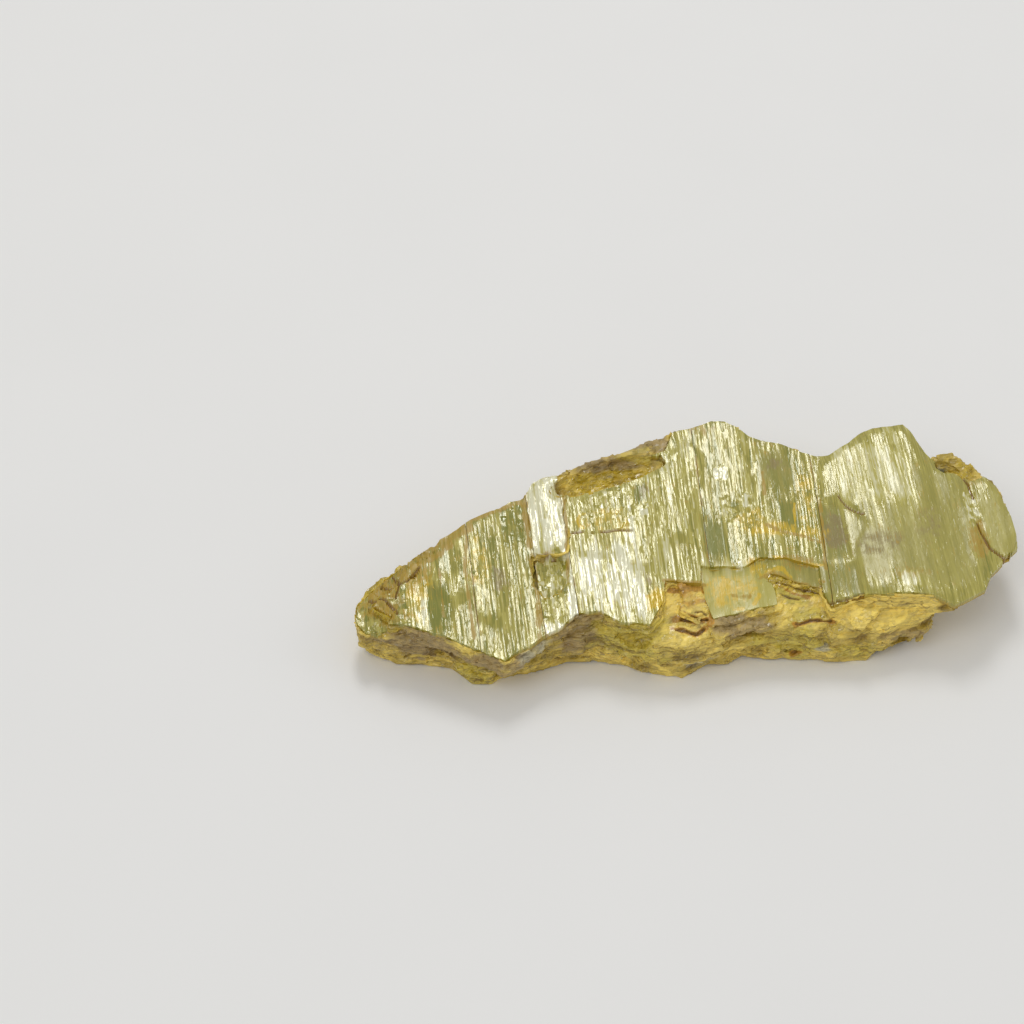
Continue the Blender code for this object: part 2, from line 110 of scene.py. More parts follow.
def inside(outline: Line, x: np.ndarray, y: np.ndarray) -> np.ndarray:
    """Tests points against a closed outline.

    Args:
        outline: The corners of the outline.
        x: The points' places along X.
        y: The points' places along Y.

    Returns:
        True for each point inside.
    """
    within = np.zeros(x.shape, bool)
    for (ax, ay), (bx, by) in zip(outline, outline[1:] + outline[:1]):
        if ay == by:
            continue
        crossed = (ay > y) != (by > y)
        within ^= crossed & (x < ax + (y - ay) * (bx - ax) / (by - ay))
    return within


def smoothstep(low: float, high: float, value: np.ndarray) -> np.ndarray:
    """Rises smoothly from 0 at low to 1 at high.

    Args:
        low: Where the rise starts.
        high: Where it ends.
        value: The values to map.

    Returns:
        The share of the rise at each value.
    """
    t = np.clip((value - low) / (high - low), 0.0, 1.0)
    return t * t * (3.0 - 2.0 * t)


class Chance:
    """Seeded random fields, which give the same value for the same place in every run."""

    MIX = (0x9E3779B1, 0x85EBCA6B, 0xC2B2AE35)
    WORD = 0xFFFFFFFF

    # What is added to a seed for a chip's height, middle, tilt and label.
    HEIGHT, MIDDLE, TILT, LABEL = 7, 11, 17, 23

    @classmethod
    def cell(cls, seed: int, *cells: np.ndarray) -> np.ndarray:
        """Draws a number for each cell of a grid.

        Args:
            seed: Picks the field.
            *cells: Whole numbers, one array for each direction of the grid.

        Returns:
            A number from 0 to 1 for each cell.
        """
        word = np.full(np.shape(cells[0]), (seed * cls.MIX[1] + 1) & cls.WORD, dtype=np.uint64)
        for part in cells:
            word ^= np.asarray(part, dtype=np.int64).astype(np.uint64) & np.uint64(cls.WORD)
            word = (word * np.uint64(cls.MIX[0])) & np.uint64(cls.WORD)
            word ^= word >> np.uint64(15)
            word = (word * np.uint64(cls.MIX[2])) & np.uint64(cls.WORD)
            word ^= word >> np.uint64(13)
        return word.astype(float) / cls.WORD

    @classmethod
    def cloud(cls, seed: int, points: np.ndarray, size: float) -> np.ndarray:
        """Draws a smooth field.

        Args:
            seed: Picks the field.
            points: One row for each point.
            size: The spacing of the field's lumps.

        Returns:
            A number from -1 to 1 for each point.
        """
        place = points / size
        base = np.floor(place)
        t = place - base
        t = t * t * (3.0 - 2.0 * t)
        base = base.astype(np.int64)
        total = np.zeros(len(points))
        directions = points.shape[1]
        for corner in np.ndindex(*(2,) * directions):
            weight = np.ones(len(points))
            for axis, step in enumerate(corner):
                weight *= t[:, axis] if step else 1.0 - t[:, axis]
            cells = [base[:, axis] + step for axis, step in enumerate(corner)]
            total += weight * cls.cell(seed, *cells)
        return total * 2.0 - 1.0

    @classmethod
    def chips(cls, seed: int, points: np.ndarray, size: float) -> tuple[np.ndarray, np.ndarray]:
        """Breaks space into flat chips, each with its own height and tilt.

        Args:
            seed: Picks the field.
            points: One row for each point.
            size: The mean size of a chip.

        Returns:
            The height of the chip's facet at each point, from about -1 to 1, and a number from 0
            to 1 that is the same all over a chip.
        """
        place = points / size
        base = np.floor(place).astype(np.int64)
        directions = points.shape[1]
        nearest = np.full(len(points), np.inf)
        height = np.zeros(len(points))
        label = np.zeros(len(points))
        for offset in np.ndindex(*(3,) * directions):
            cells = [base[:, axis] + step - 1 for axis, step in enumerate(offset)]
            away = np.zeros(len(points))
            facet = cls.cell(seed + cls.HEIGHT, *cells) * 2.0 - 1.0
            for axis in range(directions):
                centre = cells[axis] + cls.cell(seed + cls.MIDDLE + axis, *cells)
                step = place[:, axis] - centre
                away += step * step
                facet += step * (cls.cell(seed + cls.TILT + axis, *cells) * 2.0 - 1.0)
            closer = away < nearest
            nearest[closer] = away[closer]
            height[closer] = facet[closer]
            label[closer] = cls.cell(seed + cls.LABEL, *cells)[closer]
        return height, label


class Earth(Enum):
    """What colours a place on the specimen."""

    OCHRE = "ochre"
    UMBER = "umber"
    OLIVE = "olive"
    SLATE = "slate"
    GOLD = "gold"
    RUST = "rust"
    # DARK is no earth: it paints shade into the deep hole at the right end.
    DARK = "pit_shade"


@dataclass(frozen=True)
class Stain:
    """An egg-shaped patch of one colour.

    Attributes:
        centre: Its middle, in the drawing's millimetres.
        half: Its half sizes.
        strength: How strong it is in the middle, from 0 to 1.
    """

    centre: tuple[float, float, float]
    half: tuple[float, float, float]
    strength: float


Stains = dict[Earth, list[Stain]]


@dataclass(frozen=True)
class Seam:
    """A thin line that runs from point to point over the face.

    Attributes:
        path: The points, seen from above.
        width: Its width in millimetres.
    """

    path: Line
    width: float

    SEED = 91
    RAG = 0.8
    CORE = 0.4

    def nearness(self, x: np.ndarray, y: np.ndarray) -> np.ndarray:
        """Measures how near points are to the line.

        Args:
            x: The points' places along X.
            y: The points' places along Y.

        Returns:
            1 in the middle of the line, falling to 0 at its edge.
        """
        ragged = Chance.cloud(self.SEED, np.stack([x, y], axis=1), self.RAG)
        ragged = ragged * self.width * self.CORE
        away = np.full(x.shape, np.inf)
        for (ax, ay), (bx, by) in zip(self.path, self.path[1:]):
            run = (bx - ax) ** 2 + (by - ay) ** 2
            t = np.clip(((x - ax) * (bx - ax) + (y - ay) * (by - ay)) / run, 0.0, 1.0)
            away = np.minimum(away, np.hypot(x - ax - t * (bx - ax), y - ay - t * (by - ay)))
        return 1.0 - smoothstep(self.width * self.CORE, self.width, away + ragged)


@dataclass(frozen=True)
class Crack(Seam):
    """A crack.

    Attributes:
        depth: Its depth in millimetres.
    """

    depth: float = 0.14


@dataclass(frozen=True)
class Vein(Seam):
    """A stained line.

    Attributes:
        earth: What stains it.
    """

    earth: Earth = Earth.OCHRE


BODY_STAINS: Stains = {
    Earth.GOLD: [
        Stain((-27.4, -5.6, 5.6), (3.6, 4.6, 2.4), 1.0),
        Stain((7.6, -4.4, 6.0), (2.2, 1.8, 1.4), 0.9),
        Stain((25.8, 8.6, 6.2), (2.6, 2.4, 2.0), 1.0),
        Stain((-6.8, 6.9, 6.6), (6.6, 2.2, 1.5), 1.0),
    ],
    Earth.OCHRE: [
        Stain((-24.6, -5.0, 6.4), (1.0, 2.0, 0.8), 0.8),
        Stain((-0.8, -8.4, 5.4), (2.8, 3.8, 2.6), 1.0),
        Stain((4.5, -9.4, 2.1), (3.4, 1.6, 0.9), 0.5),
        Stain((9.9, -7.2, 5.6), (3.4, 3.2, 1.4), 0.9),
        Stain((17.2, -7.4, 5.0), (6.4, 3.4, 2.2), 1.0),
        Stain((-16.0, 4.0, 2.2), (9.0, 4.0, 0.9), 0.7),
        Stain((14.0, 11.0, 3.0), (9.0, 3.6, 1.4), 0.8),
        Stain((27.0, -3.0, 3.4), (4.0, 5.0, 1.4), 0.6),
    ],
    Earth.UMBER: [
        Stain((-23.4, -10.6, 4.2), (5.2, 3.0, 2.6), 1.0),
        Stain((-17.6, -12.6, 3.6), (3.4, 2.2, 1.6), 0.95),
        Stain((-9.2, -9.2, 4.2), (3.8, 2.4, 2.6), 0.7),
        Stain((4.4, -8.8, 4.6), (3.8, 1.4, 1.0), 0.7),
        Stain((11.0, -4.6, 6.0), (1.2, 1.4, 1.4), 0.5),
        Stain((18.8, -8.0, 2.0), (4.0, 2.0, 1.1), 0.5),
        Stain((-8.4, 8.8, 7.6), (4.4, 1.6, 1.2), 1.0),
        Stain((-3.2, 10.8, 8.2), (3.4, 1.6, 1.2), 0.95),
        Stain((6.0, 11.4, 2.4), (8.0, 2.6, 0.6), 0.5),
        Stain((20.0, 12.0, 5.4), (5.0, 2.4, 0.8), 0.5),
        Stain((-24.0, -1.0, 3.0), (7.0, 3.4, 0.6), 0.5),
    ],
    Earth.OLIVE: [
        Stain((-18.9, -11.2, 1.4), (2.2, 2.2, 1.8), 0.9),
        Stain((-5.2, -9.6, 3.6), (4.0, 2.4, 2.8), 0.8),
        Stain((9.6, -9.0, 2.6), (3.6, 2.2, 2.0), 0.8),
        Stain((14.2, -8.6, 1.6), (4.0, 2.0, 1.2), 0.7),
        Stain((-12.6, -4.4, 5.6), (1.9, 2.6, 1.0), 1.0),
        Stain((-5.6, 9.8, 8.0), (5.2, 1.0, 1.0), 0.5),
        Stain((-7.0, 9.0, 4.0), (8.0, 3.0, 0.8), 0.6),
        Stain((1.0, 13.0, 4.6), (7.0, 2.4, 0.9), 0.6),
        Stain((27.6, 2.0, 4.6), (3.0, 6.0, 0.8), 0.6),
    ],
    Earth.SLATE: [
        Stain((-14.2, -12.0, 4.3), (1.7, 1.8, 1.0), 0.6),
        Stain((0.6, -10.6, 1.2), (1.9, 1.6, 1.1), 0.6),
        Stain((11.8, -9.3, 1.8), (0.9, 1.0, 0.7), 0.8),
    ],
    Earth.RUST: [
        Stain((0.2, -7.4, 6.0), (1.6, 2.4, 1.2), 0.4),
    ],
    # Painted shade in the deep hole at the right end.
    Earth.DARK: [
        Stain((23.6, 8.9, 6.6), (1.5, 0.9, 1.4), 1.0),
    ],
}

FACE_STAINS: Stains = {
    Earth.GOLD: [
        Stain((3.8, -6.0, 5.8), (2.8, 1.7, 1.4), 0.66),
        Stain((6.4, -3.6, 6.2), (1.4, 0.9, 1.4), 0.6),
        Stain((-9.4, 1.3, 7.0), (0.8, 1.1, 1.2), 0.45),
        Stain((-3.1, -7.6, 6.0), (1.0, 1.6, 1.2), 0.9),
        Stain((-6.6, 1.6, 7.2), (3.4, 1.8, 1.2), 0.5),
        Stain((8.6, 0.6, 7.1), (3.4, 1.1, 1.2), 0.7),
        Stain((10.8, 4.4, 7.6), (0.9, 4.4, 1.2), 0.5),
        Stain((5.6, 2.2, 7.4), (2.2, 1.2, 1.2), 0.55),
        Stain((-24.6, -6.4, 6.2), (1.4, 3.4, 1.4), 0.6),
        Stain((-19.0, -2.6, 6.8), (1.2, 4.0, 1.4), 0.45),
        Stain((-27.6, -6.4, 5.4), (2.8, 3.6, 2.0), 0.5),
    ],
    Earth.UMBER: [
        Stain((-17.1, -5.1, 6.4), (0.8, 1.8, 1.2), 0.8),
        Stain((-4.0, 4.4, 7.6), (0.7, 1.2, 1.2), 0.7),
        Stain((-3.8, -5.2, 6.4), (0.5, 2.4, 1.2), 0.6),
        Stain((8.3, 8.5, 8.2), (1.3, 1.6, 1.4), 0.7),
        Stain((13.3, 0.9, 7.1), (1.1, 2.8, 1.4), 0.9),
        Stain((17.4, -1.6, 6.8), (2.6, 1.6, 1.4), 0.6),
        Stain((22.0, 1.2, 7.2), (1.8, 2.2, 1.4), 0.5),
        Stain((-27.2, -6.8, 5.4), (2.6, 3.0, 2.0), 0.5),
    ],
    Earth.OCHRE: [
        Stain((9.6, -2.8, 6.8), (2.8, 0.8, 1.2), 0.7),
        Stain((20.4, -4.6, 6.4), (2.4, 0.8, 1.2), 0.45),
        Stain((26.2, -0.8, 6.6), (0.9, 1.9, 1.2), 0.85),
        Stain((26.3, 6.6, 7.8), (1.0, 1.6, 1.2), 0.6),
        Stain((1.6, 12.8, 8.6), (1.6, 1.0, 1.4), 0.5),
        Stain((-27.8, -6.8, 5.4), (3.0, 3.6, 2.0), 0.9),
        Stain((-26.0, -4.2, 5.8), (2.6, 1.2, 1.6), 0.8),
        Stain((-23.6, -1.8, 6.2), (1.6, 1.0, 1.6), 0.8),
        Stain((-12.6, -2.2, 6.6), (1.9, 0.5, 1.2), 0.8),
    ],
}


def arc(centre: tuple[float, float], half: tuple[float, float], start: float, end: float) -> Line:
    """Draws a curved crack.

    Args:
        centre: The middle of its curve, seen from above.
        half: The half sizes of the curve.
        start: The angle that it starts at, in degrees.
        end: The angle that it ends at.

    Returns:
        Its points.
    """
    turns = np.radians(np.linspace(start, end, 9)).tolist()
    return [(centre[0] + half[0] * math.cos(a), centre[1] + half[1] * math.sin(a)) for a in turns]


# Cracks of the face. The material colours them deep brown: painted shade down in them.
CRACKS = [
    Crack([(-10.5, 0.2), (-8.6, 0.0), (-7.2, 0.2), (-5.0, 0.1)], 0.08),
    Crack(arc((17.4, 6.4), (3.8, 4.4), 205.0, 250.0), 0.1, 0.1),
    # This one follows the face's front edge over the shelf: its colour is the painted shadow of the
    # gap there.
    Crack([(12.3, -7.5), (13.1, -7.2), (13.9, -7.1), (15.2, -6.7)], 0.2, 0.26),
    Crack([(26.3, 1.4), (26.5, 0.2), (27.1, -1.4), (28.4, -2.6)], 0.14, 0.16),
    Crack([(25.2, 7.6), (26.0, 6.2), (26.3, 4.4)], 0.12, 0.16),
    Crack([(-28.6, -6.2), (-27.2, -7.0), (-26.0, -8.6)], 0.14, 0.2),
    Crack([(-27.6, -4.8), (-26.4, -5.4), (-25.2, -5.0), (-24.2, -3.6)], 0.12, 0.2),
    Crack([(-26.6, -3.8), (-25.9, -5.2), (-26.2, -6.8)], 0.1, 0.16),
    Crack([(-14.1, -2.4), (-13.0, -2.2), (-12.2, -2.6), (-11.1, -2.3)], 0.12, 0.12),
]

# Stained lines of the face, which mostly follow the striations.
VEINS = [
    Vein([(-14.9, 4.4), (-14.2, -2.0), (-13.6, -7.0), (-13.4, -11.6)], 0.42),
    Vein([(-11.2, 5.4), (-11.0, 1.0), (-10.9, -5.4)], 0.26),
    Vein([(-20.0, 0.6), (-20.1, -4.2), (-19.6, -8.0), (-19.2, -11.8)], 0.22),
    Vein([(-22.4, -4.0), (-21.9, -9.4)], 0.16),
    Vein(arc((-9.4, 1.4), (0.55, 0.8), 80.0, 270.0), 0.2, Earth.GOLD),
    Vein([(7.2, 7.4), (7.2, 4.8)], 0.24),
    Vein([(7.2, 1.2), (8.6, 0.5), (10.2, 0.2), (12.1, -0.7)], 0.26),
    Vein([(12.3, 4.4), (12.2, 0.4), (12.2, -3.8)], 0.24),
    Vein([(9.9, 4.0), (9.8, 0.6)], 0.16, Earth.GOLD),
    Vein([(-26.0, -4.7), (-24.2, -3.1), (-22.7, -1.6), (-20.2, 0.4)], 1.35),
    Vein([(-20.4, 0.9), (-19.6, 1.4), (-17.0, 3.0), (-15.0, 4.3)], 0.45),
    Vein([(1.2, -5.2), (-0.8, -5.4), (-2.4, -5.4)], 0.3),
    Vein([(7.6, -2.5), (9.2, -2.6), (10.4, -2.9), (11.9, -3.4)], 0.2, Earth.GOLD),
    Vein([(6.1, -4.6), (6.7, -4.2), (7.4, -3.9), (8.8, -4.4), (10.0, -4.8), (11.8, -5.2)], 0.4),
    Vein([(7.0, -3.6), (8.4, -3.5), (9.0, -4.2)], 0.36, Earth.GOLD),
    Vein([(3.1, -5.5), (2.7, -6.5)], 0.9, Earth.GOLD),
    Vein([(3.6, -5.7), (4.9, -5.3), (5.7, -5.6)], 0.4, Earth.GOLD),
    Vein([(3.7, -6.2), (4.5, -6.3), (5.2, -6.3)], 0.28),
    Vein([(6.1, -6.2), (5.6, -7.1)], 0.26, Earth.GOLD),
    Vein([(2.8, -4.4), (3.7, -4.9)], 0.32, Earth.GOLD),
    Vein([(3.7, -7.6), (4.6, -7.6)], 0.2, Earth.GOLD),
    Vein([(12.4, -7.9), (13.2, -7.6), (14.2, -7.5)], 0.4),
]

# Cracks and stained lines of the broken ledges in front of the face. The cracks are coloured with
# painted shade.
LEDGE_CRACKS = [
    Crack([(9.3, -8.7), (10.6, -8.3), (12.4, -8.2)], 0.2, 0.22),
    Crack([(-0.9, -8.6), (0.4, -8.8), (1.3, -8.7)], 0.18, 0.24),
    Crack([(0.3, -8.3), (0.8, -8.2), (1.3, -8.3)], 0.12, 0.12),
    Crack([(-1.4, -9.6), (-0.2, -9.8), (0.4, -10.0), (1.0, -9.6)], 0.18, 0.2),
    Crack([(7.7, -4.8), (8.8, -4.9), (9.9, -5.2), (11.4, -5.6)], 0.14, 0.14),
    Crack([(8.0, -5.9), (8.9, -6.1), (9.7, -6.2)], 0.13, 0.1),
]
LEDGE_VEINS = [
    Vein([(1.1, -5.6), (1.6, -6.4), (1.8, -7.7), (1.6, -9.1)], 0.34, Earth.RUST),
    Vein([(-2.4, -5.8), (-0.6, -5.7), (1.0, -5.7)], 0.3, Earth.RUST),
    Vein([(-1.4, -8.5), (0.4, -8.8), (1.4, -8.7)], 0.36, Earth.RUST),
    Vein([(-1.8, -9.5), (0.4, -10.0), (1.2, -9.5)], 0.34, Earth.RUST),
    Vein([(7.6, -4.8), (8.8, -5.0), (9.9, -5.3), (11.6, -5.7)], 0.5, Earth.GOLD),
    Vein([(7.8, -5.6), (8.8, -5.9), (9.8, -6.2)], 0.8, Earth.OLIVE),
    Vein([(8.0, -5.2), (9.4, -5.7), (10.6, -6.0)], 0.2, Earth.RUST),
    Vein([(9.2, -8.8), (10.6, -8.4), (12.6, -8.3)], 0.34, Earth.RUST),
]


@dataclass(frozen=True)
class Patch:
    """A patch of the face that has its own sheen. Its sides follow the striations.

    Attributes:
        centre: Its middle, seen from above.
        half: Its half sizes, across and along the striations.
        tone: Its paleness, from 0, glassy olive, to 1, silk; partly the face's own colour, partly
            painted sheen.
        ridges: How strong its striations are.
        crumb: The height of its glittering crumbs in millimetres.
        turn: How steeply it rises to the right.
        dull: How dull it is, from 0 to 1.
    """

    centre: tuple[float, float]
    half: tuple[float, float]
    tone: float
    ridges: float = 1.0
    crumb: float = 0.0
    turn: float = 0.0
    dull: float = 0.0

    SEED = 77
    STRAND = 0.22
    SWAY = 1.1
    FARTHEST = 2.0

    def share(self, s: np.ndarray, y: np.ndarray) -> np.ndarray:
        """How far each place belongs to the patch.

        Args:
            s: Places across the striations.
            y: Places along them.

        Returns:
            1 inside, falling to 0 at the ragged rim.
        """
        strand = np.floor(s / self.STRAND).astype(np.int64)
        sway = Chance.cloud(self.SEED + 1, np.stack([s, y], axis=1), self.SWAY)
        ragged = 0.5 * Chance.cell(self.SEED, strand) + 0.25 * sway
        across = np.abs(self.offset(s)) / self.half[0]
        lengthwise = np.abs(y - self.centre[1]) / self.half[1] + ragged
        return (1.0 - smoothstep(0.8, 1.05, across)) * (1.0 - smoothstep(0.85, 1.25, lengthwise))

    def turned(self, s: np.ndarray, y: np.ndarray) -> np.ndarray:
        """How far the turn lifts each place, in millimetres.

        Args:
            s: Places across the striations.
            y: Places along them.

        Returns:
            The rise, which ends smoothly at the rim.
        """
        offset = self.offset(s)
        across = 1.0 - smoothstep(0.7, 1.25, np.abs(offset) / self.half[0])
        lengthwise = 1.0 - smoothstep(0.7, 1.25, np.abs(y - self.centre[1]) / self.half[1])
        return self.turn * across * lengthwise * np.clip(offset, -self.FARTHEST, self.FARTHEST)

    def offset(self, s: np.ndarray) -> np.ndarray:
        """How far each place lies to the right of the patch's middle."""
        middle = self.centre[0] - float(along(LEANS, np.array(self.centre[0]))) * self.centre[1]
        return s - middle


@dataclass(frozen=True)
class Cover:
    """A part of the solid's top that cleavage sheets lie on.

    Attributes:
        outline: Its outline, seen from above.
        lowest: Its lowest level.
        highest: Its highest level.
    """

    outline: Line
    lowest: float
    highest: float = 9.0

    def holds(self, x: np.ndarray, y: np.ndarray, over: np.ndarray) -> np.ndarray:
        """Tests whether places lie on this part.

        Args:
            x: Their places along X.
            y: Their places along Y.
            over: Their levels.

        Returns:
            True for each place on it.
        """
        return (over > self.lowest) & (over < self.highest) & inside(self.outline, x, y)


FACE_COVER = Cover(FACE_OUTLINE, SHEET_LOWEST)
FOOT_COVER = Cover([(-14.3, -7.4), (-10.4, -7.4), (-10.4, -1.6), (-14.3, -1.6)], 5.6)
PALE_COVER = Cover([
    (1.0, -2.9), (1.0, -4.9), (1.2, -6.6), (1.9, -8.7), (3.9, -8.1), (6.0, -7.5), (7.7, -7.0),
    (7.6, -5.7), (7.3, -4.8), (6.6, -4.6), (7.2, -3.9), (8.8, -4.4), (10.3, -4.8), (11.8, -5.2),
    (12.0, -3.2), (8.3, -2.1), (6.3, -2.3), (4.9, -3.2),
], 5.3, 7.3)
TIP_COVER = Cover([
    (-29.8, -8.2), (-28.8, -9.7), (-26.9, -9.6), (-26.2, -8.0), (-25.2, -5.8), (-24.0, -4.0),
    (-22.4, -0.6), (-23.4, -1.4), (-25.8, -3.1), (-28.0, -4.7), (-29.7, -6.6),
], 4.9)


# A patch's tone is partly the face's own colour and partly painted sheen. A tone over 1 paints a
# white spot, a painted highlight.
PATCHES = [
    Patch((-22.4, -8.0), (1.1, 3.2), 0.06, 0.2, turn=0.14),
    Patch((-21.6, -3.2), (1.3, 1.6), 0.2, 0.5),
    Patch((-15.8, 1.6), (1.3, 2.6), 0.1, 0.45, crumb=0.03),
    Patch((-24.6, -8.0), (1.2, 2.2), 0.7),
    Patch((-12.5, -4.2), (1.8, 2.6), 0.55, 0.3, crumb=0.11),
    Patch((-12.3, -8.4), (1.5, 2.0), 0.5, 0.8, crumb=0.03),
    Patch((-27.8, -6.6), (2.8, 4.2), 0.3, 0.5, crumb=0.06),
    Patch((-24.4, -1.8), (1.6, 2.0), 0.15, 0.5, crumb=0.07),
    Patch((-7.2, 3.0), (2.6, 2.6), 0.6, 0.8, crumb=0.04),
    Patch((-7.2, -5.0), (3.2, 4.6), 0.9, 1.2),
    Patch((-4.2, 4.4), (0.6, 1.3), 0.02, 0.2, turn=0.2),
    Patch((-3.9, 2.2), (0.4, 0.5), 1.2, 0.5, crumb=0.1),
    Patch((2.4, -0.6), (1.0, 2.8), 0.04, 0.12, turn=0.2, dull=0.6),
    Patch((4.4, -5.8), (4.2, 3.6), 0.6, 0.12, dull=0.85),
    Patch((6.6, -3.4), (1.2, 1.0), 0.45, 0.3, crumb=0.03, dull=0.4),
    Patch((10.4, -4.0), (1.8, 1.5), 0.3, 0.15, dull=0.7),
    Patch((4.4, -3.2), (0.3, 0.6), 1.3, 0.3, crumb=0.05),
    Patch((4.9, -1.0), (1.5, 2.2), 0.26, 0.7),
    Patch((3.3, 7.3), (0.7, 0.9), 1.3, 0.3, crumb=0.05),
    Patch((4.7, 3.0), (1.6, 1.8), 0.5, 0.6, crumb=0.07),
    Patch((8.5, 7.6), (1.7, 2.6), 0.2, 0.2, turn=-0.07, dull=0.6),
    Patch((9.3, 2.5), (0.9, 1.7), 0.06, 0.1, turn=-0.16, dull=0.6),
    Patch((11.0, 4.6), (0.8, 4.4), 0.3, 0.8),
    Patch((13.2, 0.9), (1.1, 3.4), 0.16, 0.1, turn=-0.2, dull=0.8),
    Patch((13.5, -5.0), (1.7, 1.9), 0.2, 0.2, turn=-0.16, dull=0.7),
    Patch((17.2, 7.4), (3.6, 4.4), 0.72, 0.7, dull=0.45),
    Patch((20.2, -1.2), (5.6, 5.2), 0.36, 0.16, dull=0.85),
    Patch((23.6, 3.2), (2.4, 5.6), 0.34, 0.16, dull=0.7),
    Patch((19.6, -5.4), (0.9, 0.9), 0.8, 0.6, dull=0.3),
    Patch((26.0, 3.2), (0.6, 2.0), 0.75, 0.4, crumb=0.1, dull=0.3),
    Patch((28.6, 1.4), (1.8, 5.4), 0.42, 0.1, dull=0.85),
]


@dataclass(frozen=True)
class Striae:
    """One family of striations.

    Attributes:
        width: The width of a striation in millimetres.
        height: How far its ridge stands up or down.
        length: How long it runs before it changes.
    """

    width: float
    height: float
    length: float

    RAMP = 0.88

    def relief(self, seed: int, s: np.ndarray, y: np.ndarray) -> tuple[np.ndarray, np.ndarray]:
        """Works out the folded relief of this family.

        Args:
            seed: Picks the family.
            s: Places across the striations.
            y: Places along them.

        Returns:
            The rise at each place, in millimetres, and a number from 0 to 1 for its facet.
        """
        across = np.stack([s, y * 0.02], axis=1)
        warped = s / self.width + 0.4 * Chance.cloud(seed, across, self.width * 1.7)
        line = np.floor(warped).astype(np.int64)
        t = warped - line
        low, label = self._ridge(seed, line, y)
        high = self._ridge(seed, line + 1, y)[0]
        return self.height * (low * (1.0 - t) + high * t), label

    def _ridge(self, seed: int, line: np.ndarray, y: np.ndarray) -> tuple[np.ndarray, np.ndarray]:
        """The height of a numbered ridge line along Y, from -1 to 1, and its stretch's number."""
        place = y / self.length + Chance.cell(seed + 3, line) * 9.0
        stretch = np.floor(place).astype(np.int64)
        t = smoothstep(self.RAMP, 1.0, place - stretch)
        here = Chance.cell(seed + 5, line, stretch)
        ahead = Chance.cell(seed + 5, line, stretch + 1)
        return (here * (1.0 - t) + ahead * t) * 2.0 - 1.0, Chance.cell(seed + 9, line, stretch)


def neighbourly(field: np.ndarray, axis: int) -> np.ndarray:
    """Averages every value with its two neighbours.

    Args:
        field: The values, in rows and columns.
        axis: 0 for the neighbours in the column, 1 for those in the row.

    Returns:
        The averages. The rim counts itself as its own neighbour.
    """
    here = np.arange(field.shape[axis])
    before = field.take(np.maximum(here - 1, 0), axis)
    after = field.take(np.minimum(here + 1, here[-1]), axis)
    return (before + field + after) / 3.0


def drawn(mesh: bpy.types.Mesh) -> np.ndarray:
    """Reads a mesh's points in the drawing's millimetres.

    Args:
        mesh: A mesh in the frame.

    Returns:
        One row for each point.
    """
    points = np.empty(len(mesh.vertices) * 3, np.float32)
    mesh.vertices.foreach_get("co", points)
    return points.reshape(-1, 3).astype(float) / MM - (DRAWING_X, DRAWING_Y, 0.0)


def redraw(mesh: bpy.types.Mesh, points: np.ndarray) -> None:
    """Moves a mesh's points to places in the drawing.

    Args:
        mesh: A mesh in the frame.
        points: One row for each point, in millimetres.
    """
    moved = (points + (DRAWING_X, DRAWING_Y, 0.0)) * MM
    mesh.vertices.foreach_set("co", moved.astype(np.float32).ravel())
    mesh.update()


def paint(mesh: bpy.types.Mesh, name: str, values: np.ndarray) -> None:
    """Stores a value from 0 to 1 at every point, for the materials.

    Args:
        mesh: The mesh to paint.
        name: The name that the material reads.
        values: One value for each point.
    """
    layer = mesh.attributes.new(name, "FLOAT", "POINT")
    layer.data.foreach_set("value", np.clip(values, 0.0, 1.0).astype(np.float32))


def show(piece: bpy.types.Object, finish: bpy.types.Material) -> None:
    """Gives a piece its finish and hangs it on the frame in place of the solid.

    Args:
        piece: The finished piece, in place.
        finish: Its material.
    """
    piece.data.materials.clear()
    piece.data.materials.append(finish)
    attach(piece, BODY)
    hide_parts(NODE)
    piece.data.calc_loop_triangles()
    LOG.info("%s: %d triangles", piece.name, len(piece.data.loop_triangles))


def opened(mesh: bpy.types.Mesh) -> bmesh.types.BMesh:
    """Opens a mesh for editing.

    Args:
        mesh: The mesh.

    Returns:
        A copy to edit, for closed to write back.
    """
    bm = bmesh.new()
    bm.from_mesh(mesh)
    return bm


def closed(bm: bmesh.types.BMesh, mesh: bpy.types.Mesh) -> bpy.types.Mesh:
    """Writes an edited copy to a mesh and frees it.

    Args:
        bm: The edited copy.
        mesh: The mesh.

    Returns:
        The mesh.
    """
    bm.to_mesh(mesh)
    bm.free()
    return mesh


def linked_object(name: str, mesh: bpy.types.Mesh) -> bpy.types.Object:
    """Puts a mesh in the scene as an object at the origin.

    Args:
        name: The object's name.
        mesh: Its mesh.

    Returns:
        The object.
    """
    piece = bpy.data.objects.new(name, mesh)
    bpy.context.scene.collection.objects.link(piece)
    return piece


def earth_masks(points: np.ndarray, stains: Stains) -> dict[Earth, np.ndarray]:
    """Works out how strongly each earth colours each point.

    Args:
        points: Places in the drawing, one row each.
        stains: The patches of each colour.

    Returns:
        A value from 0 to 1 for each point, for each earth.
    """
    seed = 301
    layer = (3.0, 3.0, 0.45)
    wobble = 0.35 * Chance.cloud(seed, points, 2.4) + 0.25 * Chance.cloud(seed + 1, points, 0.8)
    wobble += 0.3 * Chance.cloud(seed + 2, points / layer, 1.0)
    masks = {earth: np.zeros(len(points)) for earth in Earth}
    for earth, group in stains.items():
        for stain in group:
            away = np.linalg.norm((points - stain.centre) / stain.half, axis=1)
            patch = stain.strength * (1.0 - smoothstep(0.35, 1.35, away + wobble))
            masks[earth] = np.maximum(masks[earth], patch)
    return masks


